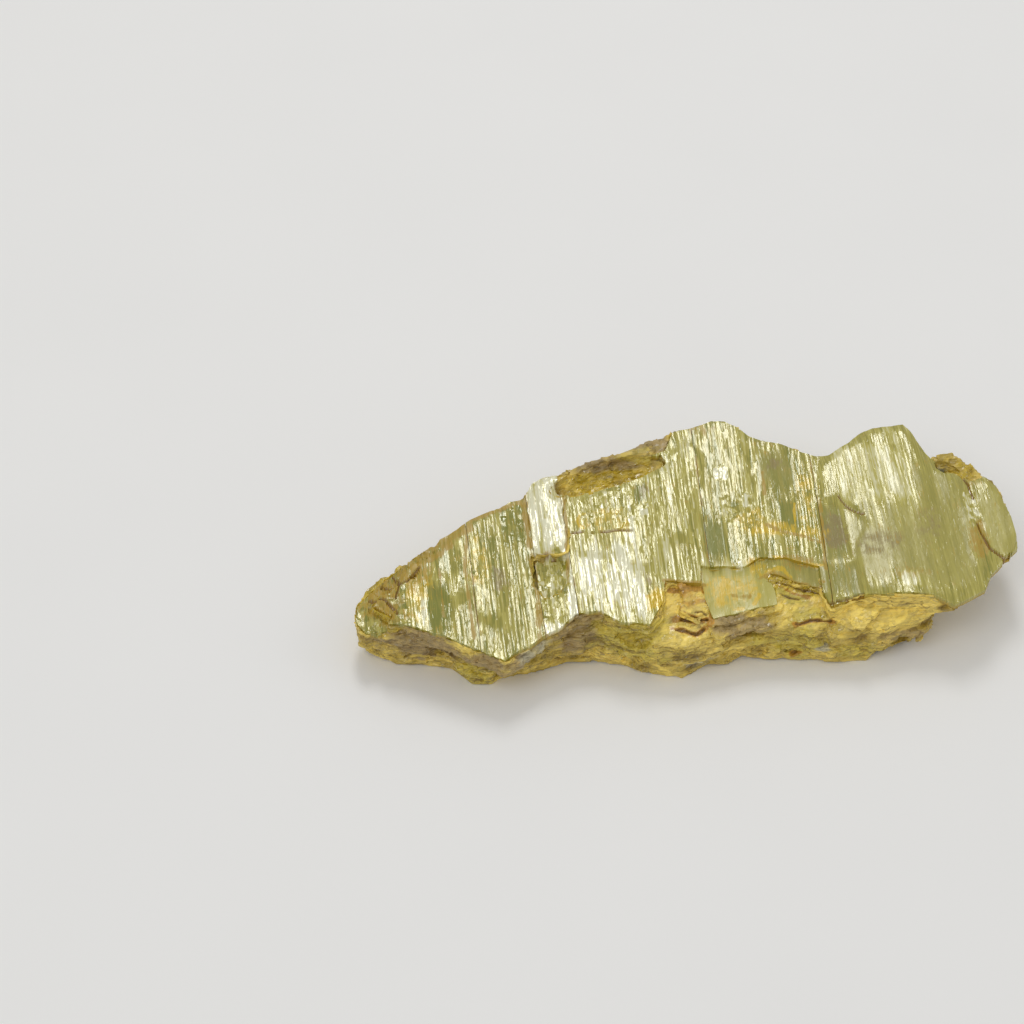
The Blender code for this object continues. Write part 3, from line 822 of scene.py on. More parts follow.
class Graph:
    """A short way to write a material's nodes."""

    def __init__(self, tree: bpy.types.NodeTree) -> None:
        """Starts on a tree.

        Args:
            tree: The tree that the nodes go into.
        """
        self.tree = tree

    def node(self, kind: str, **settings: object) -> bpy.types.Node:
        """Adds a node.

        Args:
            kind: Its type, such as ShaderNodeMix.
            **settings: Its properties.

        Returns:
            The node.
        """
        made = self.tree.nodes.new(kind)
        for name, value in settings.items():
            setattr(made, name, value)
        return made

    def link(self, source: bpy.types.NodeSocket, target: bpy.types.NodeSocket) -> None:
        """Joins two sockets."""
        self.tree.links.new(source, target)

    def value(self, name: str) -> bpy.types.NodeSocket:
        """The painted value of this name."""
        return self.node("ShaderNodeAttribute", attribute_name=name).outputs["Fac"]

    def sum(self, operation: str, *terms: object) -> bpy.types.NodeSocket:
        """Adds a Math node.

        Args:
            operation: What it does, such as MULTIPLY.
            *terms: Sockets or numbers.

        Returns:
            Its result.
        """
        made = self.node("ShaderNodeMath", operation=operation)
        for socket, term in zip(made.inputs, terms):
            self.feed(socket, term)
        return made.outputs[0]

    def feed(self, socket: bpy.types.NodeSocket, term: object) -> None:
        """Sets a socket, or links it where the term is a socket itself."""
        if isinstance(term, bpy.types.NodeSocket):
            self.link(term, socket)
        else:
            socket.default_value = term

    def blend(self, share: object, first: object, second: object) -> bpy.types.NodeSocket:
        """Mixes two colours.

        Args:
            share: How much of the second, from 0 to 1.
            first: The first colour, or a socket.
            second: The second colour, or a socket.

        Returns:
            The mixed colour.
        """
        made = self.node("ShaderNodeMix", data_type="RGBA")
        self.feed(made.inputs[0], share)
        self.feed(made.inputs[6], first)
        self.feed(made.inputs[7], second)
        return made.outputs[2]

    def place(self) -> list[bpy.types.NodeSocket]:
        """The place on the object, as X, Y and Z in metres."""
        split = self.node("ShaderNodeSeparateXYZ")
        self.link(self.node("ShaderNodeTexCoord").outputs["Object"], split.inputs[0])
        return list(split.outputs)

    def joined(self, *terms: object) -> bpy.types.NodeSocket:
        """A place made of its X, Y and Z, which are sockets or numbers."""
        made = self.node("ShaderNodeCombineXYZ")
        for socket, term in zip(made.inputs, terms):
            self.feed(socket, term)
        return made.outputs[0]

    def mapped(
        self, term: object, source: tuple[float, float], target: tuple[float, float],
        kind: str = "LINEAR",
    ) -> bpy.types.NodeSocket:
        """Maps a value from one range to another.

        Args:
            term: The value, as a socket.
            source: The range that it comes from.
            target: The range that it goes to.
            kind: The form of the way between, such as SMOOTHSTEP.

        Returns:
            The mapped value, which stays in the second range.
        """
        made = self.node("ShaderNodeMapRange", interpolation_type=kind)
        names = ("Value", "From Min", "From Max", "To Min", "To Max")
        for name, value in zip(names, (term, *source, *target)):
            self.feed(made.inputs[name], value)
        return made.outputs[0]

    def bump(self, shader: bpy.types.Node, height: object, strength: float, deep: float) -> None:
        """Gives a shader fine relief.

        Args:
            shader: The shader.
            height: The relief, as a socket.
            strength: How strong it is, from 0 to 1.
            deep: Its depth in metres.
        """
        made = self.node("ShaderNodeBump")
        made.inputs["Strength"].default_value = strength
        made.inputs["Distance"].default_value = deep
        self.link(height, made.inputs["Height"])
        self.link(made.outputs[0], shader.inputs["Normal"])

    def group(self, tree: bpy.types.NodeTree, **inputs: object) -> bpy.types.Node:
        """Places a node group.

        Args:
            tree: The group.
            **inputs: Values or sockets for its inputs, with _ for a space.

        Returns:
            The group's node.
        """
        made = self.node("ShaderNodeGroup", node_tree=tree)
        for name, term in inputs.items():
            self.feed(made.inputs[name.replace("_", " ")], term)
        return made


def new_material(name: str) -> tuple[bpy.types.Material, Graph, bpy.types.Node]:
    """Starts a material.

    Args:
        name: Its name.

    Returns:
        The material, its graph and its shader.
    """
    made = bpy.data.materials.new(name)
    made.use_nodes = True
    return made, Graph(made.node_tree), made.node_tree.nodes["Principled BSDF"]


def new_group(name: str, inputs: dict[str, float], outputs: list[str]) -> tuple[Graph, dict, dict]:
    """Starts a node group of values.

    Args:
        name: The group's name.
        inputs: Its inputs, with their defaults.
        outputs: Its outputs.

    Returns:
        The graph, the input sockets by name and the output sockets by name.
    """
    tree = bpy.data.node_groups.new(name, "ShaderNodeTree")
    for label, default in inputs.items():
        socket = tree.interface.new_socket(label, in_out="INPUT", socket_type="NodeSocketFloat")
        socket.default_value = default
    for label in outputs:
        tree.interface.new_socket(label, in_out="OUTPUT", socket_type="NodeSocketFloat")
    graph = Graph(tree)
    entry = graph.node("NodeGroupInput")
    leave = graph.node("NodeGroupOutput")
    return graph, dict(entry.outputs.items()), dict(leave.inputs.items())


def streak_group() -> bpy.types.NodeTree:
    """Builds silky streaks that run along the striations. In the colour they are partly painted
    sheen.

    Returns:
        A group whose Across and Along are the streaks' counts in a metre.
    """
    graph, entry, leave = new_group("silky streaks", {"Across": 4000.0, "Along": 300.0}, ["Value"])
    x, y, _ = graph.place()
    leaning = graph.sum("MULTIPLY_ADD", y, 0.09, x)
    across = graph.sum("MULTIPLY", leaning, entry["Across"])
    lengthwise = graph.sum("MULTIPLY", y, entry["Along"])
    grain = graph.node("ShaderNodeTexNoise", noise_dimensions="2D")
    grain.inputs["Scale"].default_value = 1.0
    grain.inputs["Detail"].default_value = 3.0
    graph.link(graph.joined(across, lengthwise), grain.inputs["Vector"])
    graph.link(grain.outputs[0], leave["Value"])
    return graph.tree


def crumb_group() -> bpy.types.NodeTree:
    """Builds fine crumbs and dust.

    Returns:
        A group whose Count is the number of crumbs in a metre, Flat how much flatter than wide
        they are, and Deep how much narrower from front to back.
    """
    inputs = {"Count": 2500.0, "Flat": 1.0, "Deep": 1.0}
    graph, entry, leave = new_group("crumbs", inputs, ["Fleck", "Dust"])
    x, y, z = graph.place()
    askew = graph.sum("MULTIPLY_ADD", x, -0.22, y)
    level = graph.sum("MULTIPLY_ADD", y, -LEAN, z)
    deep = graph.sum("MULTIPLY", askew, entry["Deep"])
    place = graph.joined(x, deep, graph.sum("MULTIPLY", level, entry["Flat"]))
    cells = graph.node("ShaderNodeTexVoronoi")
    graph.link(place, cells.inputs["Vector"])
    graph.link(entry["Count"], cells.inputs["Scale"])
    shade = graph.node("ShaderNodeSeparateColor")
    graph.link(cells.outputs["Color"], shade.inputs[0])
    graph.link(shade.outputs[0], leave["Fleck"])
    dust = graph.node("ShaderNodeTexNoise")
    dust.inputs["Detail"].default_value = 5.0
    graph.link(place, dust.inputs["Vector"])
    graph.link(entry["Count"], dust.inputs["Scale"])
    graph.link(dust.outputs[0], leave["Dust"])
    return graph.tree


@dataclass(frozen=True)
class CleavageFinish:
    """The silky greenish gold of a cleavage face.

    Attributes:
        name: The material's name.
        window: The colour of a clean, glassy place.
        olive: The colour next to it.
        straw: The colour between.
        silk_sheen: The colour of the palest streaks.
        ochre: The colour of earthy stains.
        gold: The colour of golden stains.
        mauve: The colour of brownish streaks.
        crack: The deep brown put down in a crack: painted shade.
        roughness: The roughness of a clean place.
    """

    name: str = "cleavage face"
    window: Colour = (0.225, 0.235, 0.025, 1.0)
    olive: Colour = (0.35, 0.31, 0.045, 1.0)
    straw: Colour = (0.53, 0.475, 0.1, 1.0)
    silk_sheen: Colour = (0.87, 0.85, 0.6, 1.0)
    ochre: Colour = (0.42, 0.26, 0.0, 1.0)
    gold: Colour = (0.74, 0.49, 0.0, 1.0)
    mauve: Colour = (0.25, 0.185, 0.05, 1.0)
    crack: Colour = (0.24, 0.12, 0.0, 1.0)
    roughness: float = 0.17

    def material(
        self, streaks: bpy.types.NodeTree, crumbs: bpy.types.NodeTree
    ) -> bpy.types.Material:
        """Builds the material.

        Args:
            streaks: The group of silky streaks.
            crumbs: The group of crumbs.

        Returns:
            The material.
        """
        made, graph, shader = new_material(self.name)
        fine = graph.group(streaks, Across=8000.0, Along=420.0).outputs["Value"]
        broad = graph.group(streaks, Across=1300.0, Along=150.0).outputs["Value"]
        dust = graph.group(crumbs, Count=1400.0).outputs["Dust"]
        dull = graph.value("dull")
        sharp = graph.sum("SUBTRACT", 1.0, graph.sum("MULTIPLY", dull, 0.75))

        # The streaks and the painted tone choose the colour, from glassy olive to the pale silk
        # end, which is painted sheen.
        keen = graph.sum("MULTIPLY", sharp, 0.75)
        streaky = graph.sum("MULTIPLY", graph.sum("SUBTRACT", fine, 0.5), keen)
        soft = graph.sum("MULTIPLY_ADD", sharp, 0.3, 0.15)
        streaky = graph.sum("MULTIPLY_ADD", graph.sum("SUBTRACT", broad, 0.5), soft, streaky)
        streaky = graph.sum("ADD", streaky, graph.value("tone"))
        ramp = graph.node("ShaderNodeValToRGB")
        ramp.color_ramp.elements[0].color = self.window
        ramp.color_ramp.elements[1].color = self.silk_sheen
        ramp.color_ramp.elements.new(0.28).color = self.olive
        ramp.color_ramp.elements.new(0.6).color = self.straw
        graph.link(streaky, ramp.inputs[0])
        colour = ramp.outputs[0]
        shares = []
        spread = graph.sum("SUBTRACT", graph.sum("ADD", dust, fine), 1.0)
        spread = graph.sum("MULTIPLY", spread, 1.5)
        shades = {Earth.UMBER: self.mauve, Earth.GOLD: self.gold, Earth.OCHRE: self.ochre}
        for earth, shade in shades.items():
            ragged = graph.sum("ADD", graph.value(earth.value), spread)
            share = graph.mapped(ragged, (0.22, 1.0), (0.0, 0.85), "SMOOTHSTEP")
            colour = graph.blend(share, colour, shade)
            shares.append(share)
        umber, _, ochre = shares
        # Cracks are coloured deep brown: painted shade down in them.
        crack = graph.value("crack")
        graph.link(graph.blend(crack, colour, self.crack), shader.inputs["Base Color"])

        rough = graph.sum("MULTIPLY_ADD", fine, 0.14, self.roughness - 0.05)
        rough = graph.sum("MULTIPLY_ADD", dull, 0.2, rough)
        rough = graph.sum("MULTIPLY_ADD", umber, 0.2, rough)
        rough = graph.sum("MULTIPLY_ADD", ochre, 0.32, rough)
        graph.link(rough, shader.inputs["Roughness"])
        clean = graph.sum("SUBTRACT", 1.0, graph.sum("MAXIMUM", ochre, crack))
        metal = graph.sum("MULTIPLY", clean, graph.sum("MULTIPLY", sharp, 0.06))
        graph.link(metal, shader.inputs["Metallic"])
        shader.inputs["IOR"].default_value = 1.8
        graph.bump(shader, graph.sum("MULTIPLY", fine, sharp), 0.5, 0.00002)
        return made


@dataclass(frozen=True)
class BrokenFinish:
    """The torn and crumbly edges: golden layers with ochre, umber, olive and slate earth.

    Attributes:
        name: The material's name.
        fresh: The colour of a fresh broken layer.
        ochre: The colour of ochre dust.
        umber: The colour of brown earth.
        olive: The colour of olive crumbs.
        slate: The pale grey-blue laid in patches on the walls.
        gold: The colour of a golden, glossy break.
        rust: The colour of orange-brown stained lines.
        pit_shade: The colour of the hole at the end: painted shade.
        shade: Painted shade: the colour put deep between crumbs, in the seams between layers, in
            pushed-in places and in cracks.
    """

    name: str = "broken edge"
    fresh: Colour = (0.42, 0.3, 0.035, 1.0)
    ochre: Colour = (0.81, 0.615, 0.125, 1.0)
    umber: Colour = (0.32, 0.225, 0.088, 1.0)
    olive: Colour = (0.56, 0.45, 0.06, 1.0)
    slate: Colour = (0.5, 0.465, 0.31, 1.0)
    gold: Colour = (0.5, 0.36, 0.015, 1.0)
    rust: Colour = (0.44, 0.21, 0.01, 1.0)
    pit_shade: Colour = (0.045, 0.05, 0.02, 1.0)
    shade: Colour = (0.16, 0.08, 0.01, 1.0)

    def material(self, crumbs: bpy.types.NodeTree) -> bpy.types.Material:
        """Builds the material.

        Args:
            crumbs: The group of crumbs.

        Returns:
            The material.
        """
        made, graph, shader = new_material(self.name)
        cloud = graph.group(crumbs, Count=420.0, Flat=1.5).outputs["Dust"]
        layers = graph.group(crumbs, Count=700.0, Flat=7.0)
        streaky = graph.group(crumbs, Count=520.0, Flat=5.0, Deep=2.0).outputs["Dust"]
        leaves = graph.group(crumbs, Count=450.0, Flat=26.0, Deep=6.0).outputs["Dust"]
        small = graph.group(crumbs, Count=2600.0, Flat=1.6)
        mottled = graph.mapped(cloud, (0.35, 0.65), (0.0, 1.0))
        colour = graph.blend(mottled, self.fresh, self.ochre)
        for earth in Earth:
            ragged = graph.sum("MULTIPLY_ADD", streaky, 2.4, -1.4)
            ragged = graph.sum("MULTIPLY_ADD", graph.value(earth.value), 1.6, ragged)
            share = graph.mapped(ragged, (0.0, 0.9), (0.0, 0.88), "SMOOTHSTEP")
            colour = graph.blend(share, colour, getattr(self, earth.value))
        # Thin seams between the layers of the walls, pushed-in places and cracks get painted shade.
        seams = graph.group(crumbs, Count=260.0, Flat=6.0).outputs["Dust"]
        seams = graph.sum("ABSOLUTE", graph.sum("SUBTRACT", seams, 0.5))
        thin = graph.mapped(seams, (0.0, 0.022), (0.65, 0.0), "SMOOTHSTEP")
        split = graph.sum("MULTIPLY", thin, graph.value("wall"))
        deep = graph.sum("MAXIMUM", split, graph.sum("MULTIPLY", graph.value("hollow_shade"), 0.65))
        deep = graph.sum("MAXIMUM", deep, graph.sum("MULTIPLY", graph.value("crack"), 0.9))
        colour = graph.blend(deep, colour, self.shade)
        # Each crumb and layer is made lighter or deeper at random; this spread is partly the
        # crumbs' own colour and partly painted sparkle and shade.
        varied = graph.sum("MULTIPLY", small.outputs["Fleck"], 0.35)
        varied = graph.sum("ADD", varied, layers.outputs["Dust"])
        varied = graph.sum("MULTIPLY_ADD", leaves, 1.1, varied)
        bright = graph.mapped(varied, (0.7, 1.75), (0.6, 1.6))
        tinted = graph.node("ShaderNodeMix", data_type="RGBA", blend_type="MULTIPLY")
        tinted.inputs[0].default_value = 1.0
        graph.link(colour, tinted.inputs[6])
        graph.link(bright, tinted.inputs[7])
        graph.link(tinted.outputs[2], shader.inputs["Base Color"])

        rough = graph.mapped(small.outputs["Fleck"], (0.0, 1.0), (0.2, 0.75))
        polished = graph.sum("MULTIPLY_ADD", graph.value(Earth.GOLD.value), -0.6, 1.0)
        graph.link(graph.sum("MULTIPLY", rough, polished), shader.inputs["Roughness"])
        shader.inputs["IOR"].default_value = 1.7
        height = graph.sum("MULTIPLY", small.outputs["Fleck"], 0.6)
        for rise in (layers.outputs["Dust"], leaves, small.outputs["Dust"]):
            height = graph.sum("ADD", height, rise)
        graph.bump(shader, graph.sum("SUBTRACT", height, split), 0.6, 0.00007)
        return made


@dataclass
class BrokenBody:
    """The whole lump under the cleavage sheets, with its torn walls.

    Attributes:
        voxel: The mesh's spacing in millimetres.
        squeeze: How much finer the mesh is upwards than sideways.
        sunk: How far its top lies under the cleavage sheets.
        layers: The torn layers' thickness and reach in millimetres.
        crumbs: The crumbs' size and height in millimetres.
        undercut: How far the wall falls back under the right end's edge.
        thinned: How far the underside of the flake at the right end is lifted.
    """

    voxel: float = 0.243
    squeeze: float = 2.0
    sunk: float = 0.24
    layers: tuple[tuple[float, float], ...] = ((0.8, 0.2), (0.34, 0.13))
    crumbs: tuple[tuple[float, float], ...] = ((1.3, 0.12), (0.55, 0.09))
    undercut: float = 1.3
    thinned: float = 0.9

    SMOOTH = {Earth.OCHRE: 0.45, Earth.GOLD: 0.8, Earth.SLATE: 0.7}
    MERGED = 0.001
    LAYER_SEED = 400
    CRUMB_SEED = 450
    FLAKE_SPAN = (4.6, 6.4)
    LEDGE_LOWEST = 3.0

    def build(self, node: bpy.types.Object) -> bpy.types.Object:
        """Builds the body from the solid's shape.

        Args:
            node: The solid.

        Returns:
            The body, in place.
        """
        piece = self._remeshed(node)
        mesh = piece.data
        points = drawn(mesh)
        normals = np.empty(len(mesh.vertices) * 3, np.float32)
        mesh.vertex_normals.foreach_get("vector", normals)
        normals = normals.reshape(-1, 3).astype(float)
        level = points[:, 2] - LEAN * points[:, 1]
        over = level - along(FOLDS, points[:, 0])
        masks = earth_masks(points, BODY_STAINS)

        covered = np.zeros(len(points), bool)
        for cover in (FACE_COVER, FOOT_COVER, PALE_COVER, TIP_COVER):
            covered |= cover.holds(points[:, 0], points[:, 1], over)
        top = covered * smoothstep(0.3, 0.8, normals[:, 2])
        wall = 1.0 - smoothstep(0.35, 0.85, np.abs(normals[:, 2]))
        rough = np.ones(len(points))
        for earth, factor in self.SMOOTH.items():
            rough *= 1.0 - masks[earth] * (1.0 - factor)
        push = self._torn(points, level) * wall * (0.4 + 0.6 * rough)
        push += self._crumbled(points) * (1.0 - top) * rough
        end = smoothstep(21.5, 23.5, points[:, 0]) * (1.0 - smoothstep(2.0, 5.0, points[:, 1]))
        flake = end * smoothstep(25.5, 28.0, points[:, 0])
        end -= 0.6 * flake
        push -= self.undercut * end * (1.0 - smoothstep(0.5, 0.9, normals[:, 2]))
        crack = np.zeros(len(points))
        level_top = smoothstep(0.3, 0.6, normals[:, 2])
        for line in LEDGE_CRACKS:
            near = line.nearness(points[:, 0], points[:, 1]) * level_top
            push -= line.depth * near
            crack = np.maximum(crack, near)
        for vein in LEDGE_VEINS:
            near = vein.nearness(points[:, 0], points[:, 1]) * level_top
            masks[vein.earth] = np.maximum(masks[vein.earth], 0.9 * near)
        push *= smoothstep(0.1, 0.6, points[:, 2])
        moved = points + normals * push[:, None]
        moved[:, 2] -= self.sunk * top
        moved[:, 2] += self.thinned * flake * (1.0 - smoothstep(*self.FLAKE_SPAN, moved[:, 2]))
        moved[:, 2] = np.maximum(moved[:, 2], np.where(points[:, 2] < 0.05, 0.0, 0.05))
        redraw(mesh, moved)

        for earth, mask in masks.items():
            paint(mesh, earth.value, mask)
        paint(mesh, "crack", crack)
        paint(mesh, "wall", 1.0 - smoothstep(0.3, 0.7, normals[:, 2]))
        # Where the wall is pushed in, the material paints shade: painted shade in recesses.
        paint(mesh, "hollow_shade", smoothstep(0.02, 0.34, -push) * (1.0 - end))
        return piece

    def _remeshed(self, node: bpy.types.Object) -> bpy.types.Object:
        """Copies the solid and lays an even mesh over it, finer upwards than sideways."""
        bm = opened(node.data)
        bmesh.ops.remove_doubles(bm, verts=bm.verts, dist=self.MERGED * MM)
        bmesh.ops.scale(bm, vec=(1.0, 1.0, self.squeeze), verts=bm.verts)
        source = "broken_body_source"
        rough = linked_object(source, closed(bm, bpy.data.meshes.new(source)))
        modifier = rough.modifiers.new("even", "REMESH")
        modifier.mode = "VOXEL"
        modifier.voxel_size = self.voxel * MM
        modifier.use_smooth_shade = False
        bpy.context.view_layer.update()
        graph = bpy.context.evaluated_depsgraph_get()
        even = bpy.data.meshes.new_from_object(rough.evaluated_get(graph))
        bpy.data.objects.remove(rough, do_unlink=True)
        bm = opened(even)
        bmesh.ops.scale(bm, vec=(1.0, 1.0, 1.0 / self.squeeze), verts=bm.verts)
        bmesh.ops.recalc_face_normals(bm, faces=bm.faces)
        self._refine(bm)
        even.name = "broken_body"
        return linked_object(even.name, closed(bm, even))

    def _refine(self, bm: bmesh.types.BMesh) -> None:
        """Cuts the mesh finer round the cracks in the ledges."""
        points = np.array([v.co[:] for v in bm.verts]) / MM - (DRAWING_X, DRAWING_Y, 0.0)
        near = np.zeros(len(points), bool)
        for line in LEDGE_CRACKS:
            wide = Seam(line.path, line.width + self.voxel)
            near |= wide.nearness(points[:, 0], points[:, 1]) > 0.0
        near &= points[:, 2] > self.LEDGE_LOWEST
        bm.verts.index_update()
        edges = [e for e in bm.edges if near[e.verts[0].index] and near[e.verts[1].index]]
        bmesh.ops.subdivide_edges(bm, edges=edges, cuts=1, use_grid_fill=True)

    def _torn(self, points: np.ndarray, level: np.ndarray) -> np.ndarray:
        """How far the torn layers stand out of the wall, in millimetres."""
        out = np.zeros(len(points))
        for i, (thick, reach) in enumerate(self.layers):
            seed = self.LAYER_SEED + i
            bent = level + 0.3 * Chance.cloud(seed, points, 5.0)
            bent += 0.08 * Chance.cloud(seed + 10, points, 1.2)
            layer = np.floor(bent / thick).astype(np.int64)
            plan = np.column_stack([points[:, :2], layer * 7.3])
            lobes = 0.9 * Chance.cloud(seed + 30, plan, 2.6)
            out += reach * (Chance.cell(seed + 20, layer) - 0.5 + lobes)
        return out

    def _crumbled(self, points: np.ndarray) -> np.ndarray:
        """How far the crumbs stand out, in millimetres."""
        out = np.zeros(len(points))
        for i, (size, reach) in enumerate(self.crumbs):
            out += reach * Chance.chips(self.CRUMB_SEED + 40 * i, points, size)[0]
        return out


@dataclass
class CleavageSheet:
    """One thin sheet of the face, between two striations.

    Attributes:
        name: The piece's name.
        left: The striation that it starts at, where this crosses y = 0.
        right: The striation that it ends at.
        tilt: How far its right side is lifted over its left side, in millimetres.
        tone: Its mean paleness, from 0, glassy olive, to 1, silk; partly its own colour, partly
            painted sheen.
        ridges: How strong its striations are.
        seed: Picks its own pattern.
        covers: The parts of the solid's top that it lies on.
        across: The mesh's spacing across the striations.
        lengthwise: The mesh's spacing along them.
        gap: The width of the seam on each side.
        thickness: How thick it is.
        lift: How far it lies over the solid.
        steepest: It ends where the solid is steeper than this, as the upward part of its normal.
        evening: How far it may leave the solid's small steps and facets, in millimetres.
        bridged: Between these levels it bridges the solid's shallow pockets more and more.
        raised: How far it lifts the solid's deeper hollows to the face, from 0 to 1.
        slot: The widest slot that it closes, in rows of its mesh.
        families: Its striations, from broad to fine.
    """

    name: str
    left: float
    right: float
    tilt: float
    tone: float
    ridges: float
    seed: int
    covers: tuple[Cover, ...] = (FACE_COVER,)
    across: float = 0.052
    lengthwise: float = 0.2
    gap: float = 0.05
    thickness: float = 0.5
    lift: float = 0.03
    steepest: float = 0.6
    evening: float = 0.14
    bridged: tuple[float, float] = (6.3, 6.5)
    raised: float = 0.0
    slot: int = 4
    families: tuple[Striae, ...] = (
        Striae(0.85, 0.026, 8.0), Striae(0.27, 0.018, 3.8), Striae(0.135, 0.02, 2.2)
    )

    MERGED = 0.005
    CHIP = 0.42
    CHIP_SEED = 260
    SIDE_SEED = 300
    HALVINGS = 5
    EVENINGS = ((1, 40), (0, 5))

    def build(self, tree: BVHTree) -> bpy.types.Object:
        """Builds the sheet over the solid.

        Args:
            tree: The solid's surface, in the frame.

        Returns:
            The sheet, in place.
        """
        front = min(p[1] for cover in self.covers for p in cover.outline)
        back = max(p[1] for cover in self.covers for p in cover.outline)
        columns = math.ceil((self.right - self.left) / self.across) + 1
        rows = math.ceil((back - front) / self.lengthwise) + 1
        bm = bmesh.new()
        bmesh.ops.create_grid(bm, x_segments=columns - 1, y_segments=rows - 1, size=0.5)
        mesh = closed(bm, bpy.data.meshes.new(self.name))
        flat = np.empty(len(mesh.vertices) * 3, np.float32)
        mesh.vertices.foreach_get("co", flat)
        flat = flat.reshape(-1, 3).astype(float)
        s = self.left + self.gap / 2 + (flat[:, 0] + 0.5) * (self.right - self.left - self.gap)
        y = front + (flat[:, 1] + 0.5) * (back - front)
        kept = self._joined(self._lie(tree, s, y)[2].reshape(rows, columns))
        for step in (-1, 1):
            self._reach(tree, s, y, kept, step)
        kept = kept.ravel()
        x = s + along(LEANS, s) * y
        ground, over = self._lie(tree, s, y)[:2]
        fill = np.maximum(smoothstep(*self.bridged, over), self.raised)
        ground += np.where(over < FACE_LEVEL, fill * (FACE_LEVEL - over), 0.0)
        ground += self._evened(ground.reshape(rows, columns), kept.reshape(rows, columns)).ravel()
        points = np.stack([x, y, ground], axis=1)
        masks = earth_masks(points, FACE_STAINS)
        side = 1.0 - smoothstep(0.04, 0.22, np.minimum(s - self.left, self.right - s))
        side *= smoothstep(-0.25, 0.35, Chance.cloud(self.seed + self.SIDE_SEED, points, 1.4))
        points[:, 2] += self.lift + self._sheen(mesh, s, x, y)
        redraw(mesh, points)
        masks[Earth.OCHRE] = np.maximum(masks[Earth.OCHRE], 0.8 * side)
        for vein in VEINS:
            masks[vein.earth] = np.maximum(masks[vein.earth], 0.9 * vein.nearness(x, y))
        for earth in (Earth.OCHRE, Earth.GOLD, Earth.UMBER):
            paint(mesh, earth.value, masks[earth])

        bm = opened(mesh)
        bm.verts.ensure_lookup_table()
        dropped = [v for v, keep in zip(bm.verts, kept.tolist()) if not keep]
        bmesh.ops.delete(bm, geom=dropped, context="VERTS")
        bmesh.ops.remove_doubles(bm, verts=bm.verts, dist=self.MERGED * MM)
        self._clear(bm)
        self._close(bm)
        return linked_object(self.name, closed(bm, mesh))

    def _lie(self, tree: BVHTree, s: np.ndarray, y: np.ndarray) -> tuple[np.ndarray, ...]:
        """Drops a ray onto the solid at each place.

        Args:
            tree: The solid's surface, in the frame.
            s: The places across the striations.
            y: The places along them.

        Returns:
            The solid's height and level there, and True where the sheet covers it.
        """
        down = Vector((0.0, 0.0, -1.0))
        x = s + along(LEANS, s) * y
        ground = np.zeros(len(s))
        upright = np.zeros(len(s))
        starts = zip((x + DRAWING_X) * MM, (y + DRAWING_Y) * MM)
        for i, (sx, sy) in enumerate(starts):
            place, normal = tree.ray_cast(Vector((sx, sy, 0.1)), down)[:2]
            if place is not None:
                ground[i] = place.z / MM
                upright[i] = normal.z
        over = ground - LEAN * y - along(FOLDS, x)
        kept = np.zeros(len(s), bool)
        for cover in self.covers:
            kept |= cover.holds(x, y, over)
        return ground, over, kept & (upright > self.steepest)

    def _joined(self, kept: np.ndarray) -> np.ndarray:
        """Closes narrow slots between covered places, across the striations."""
        joined = kept.copy()
        for _ in range(self.slot):
            joined[:, 1:-1] |= joined[:, :-2] | joined[:, 2:]
        for _ in range(self.slot):
            joined[:, 1:-1] &= joined[:, :-2] & joined[:, 2:]
        return kept | joined

    def _reach(
        self, tree: BVHTree, s: np.ndarray, y: np.ndarray, kept: np.ndarray, step: int
    ) -> None:
        """Draws the first point past the rim back onto it, in every column, to end in a clean line.

        Args:
            tree: The solid's surface, in the frame.
            s: The points' places across the striations.
            y: Their places along them, which are changed.
            kept: The kept points, in rows and columns, to which the drawn points are added.
            step: -1 for the rims in front, 1 for those behind.
        """
        inner = np.roll(kept, step, axis=0)
        inner[0 if step > 0 else -1] = False
        moved = np.flatnonzero((inner & ~kept).ravel())
        near = y[moved - step * kept.shape[1]]
        far = y[moved]
        for _ in range(self.HALVINGS):
            middle = (near + far) / 2
            holds = self._lie(tree, s[moved], middle)[2]
            near = np.where(holds, middle, near)
            far = np.where(holds, far, middle)
        y[moved] = near
        kept.ravel()[moved] = True

    def _evened(self, ground: np.ndarray, kept: np.ndarray) -> np.ndarray:
        """Softens the solid's small steps and facets.

        Args:
            ground: The solid's height at every point, in rows and columns.
            kept: The points that the sheet covers.

        Returns:
            How much each height changes.
        """
        weight = np.where(kept, 1.0, 1e-6)
        soft = ground * weight
        for axis, rounds in self.EVENINGS:
            for _ in range(rounds):
                soft, weight = neighbourly(soft, axis), neighbourly(weight, axis)
        change = np.where(kept, soft / weight - ground, 0.0)
        return np.clip(change, -self.evening, self.evening)

    def _sheen(
        self, mesh: bpy.types.Mesh, s: np.ndarray, x: np.ndarray, y: np.ndarray
    ) -> np.ndarray:
        """Paints the tone, which is partly painted sheen, the dullness and the cracks. Returns the
        rise of the relief.
        """
        start = {"tone": self.tone, "ridges": self.ridges, "crumb": 0.0, "dull": 0.0}
        look = {name: np.full(len(s), value) for name, value in start.items()}
        turned = np.zeros(len(s))
        for patch in PATCHES:
            share = patch.share(s, y)
            for name, values in look.items():
                values += share * (getattr(patch, name) - values)
            turned += patch.turned(s, y)
        tone, ridges, crumb, dull = look.values()

        relief = self.tilt * ((s - self.left) / (self.right - self.left) - 0.5) + turned
        swing = np.clip(0.25 + 0.75 * ridges, 0.0, 1.2) * (1.0 - 0.5 * dull)
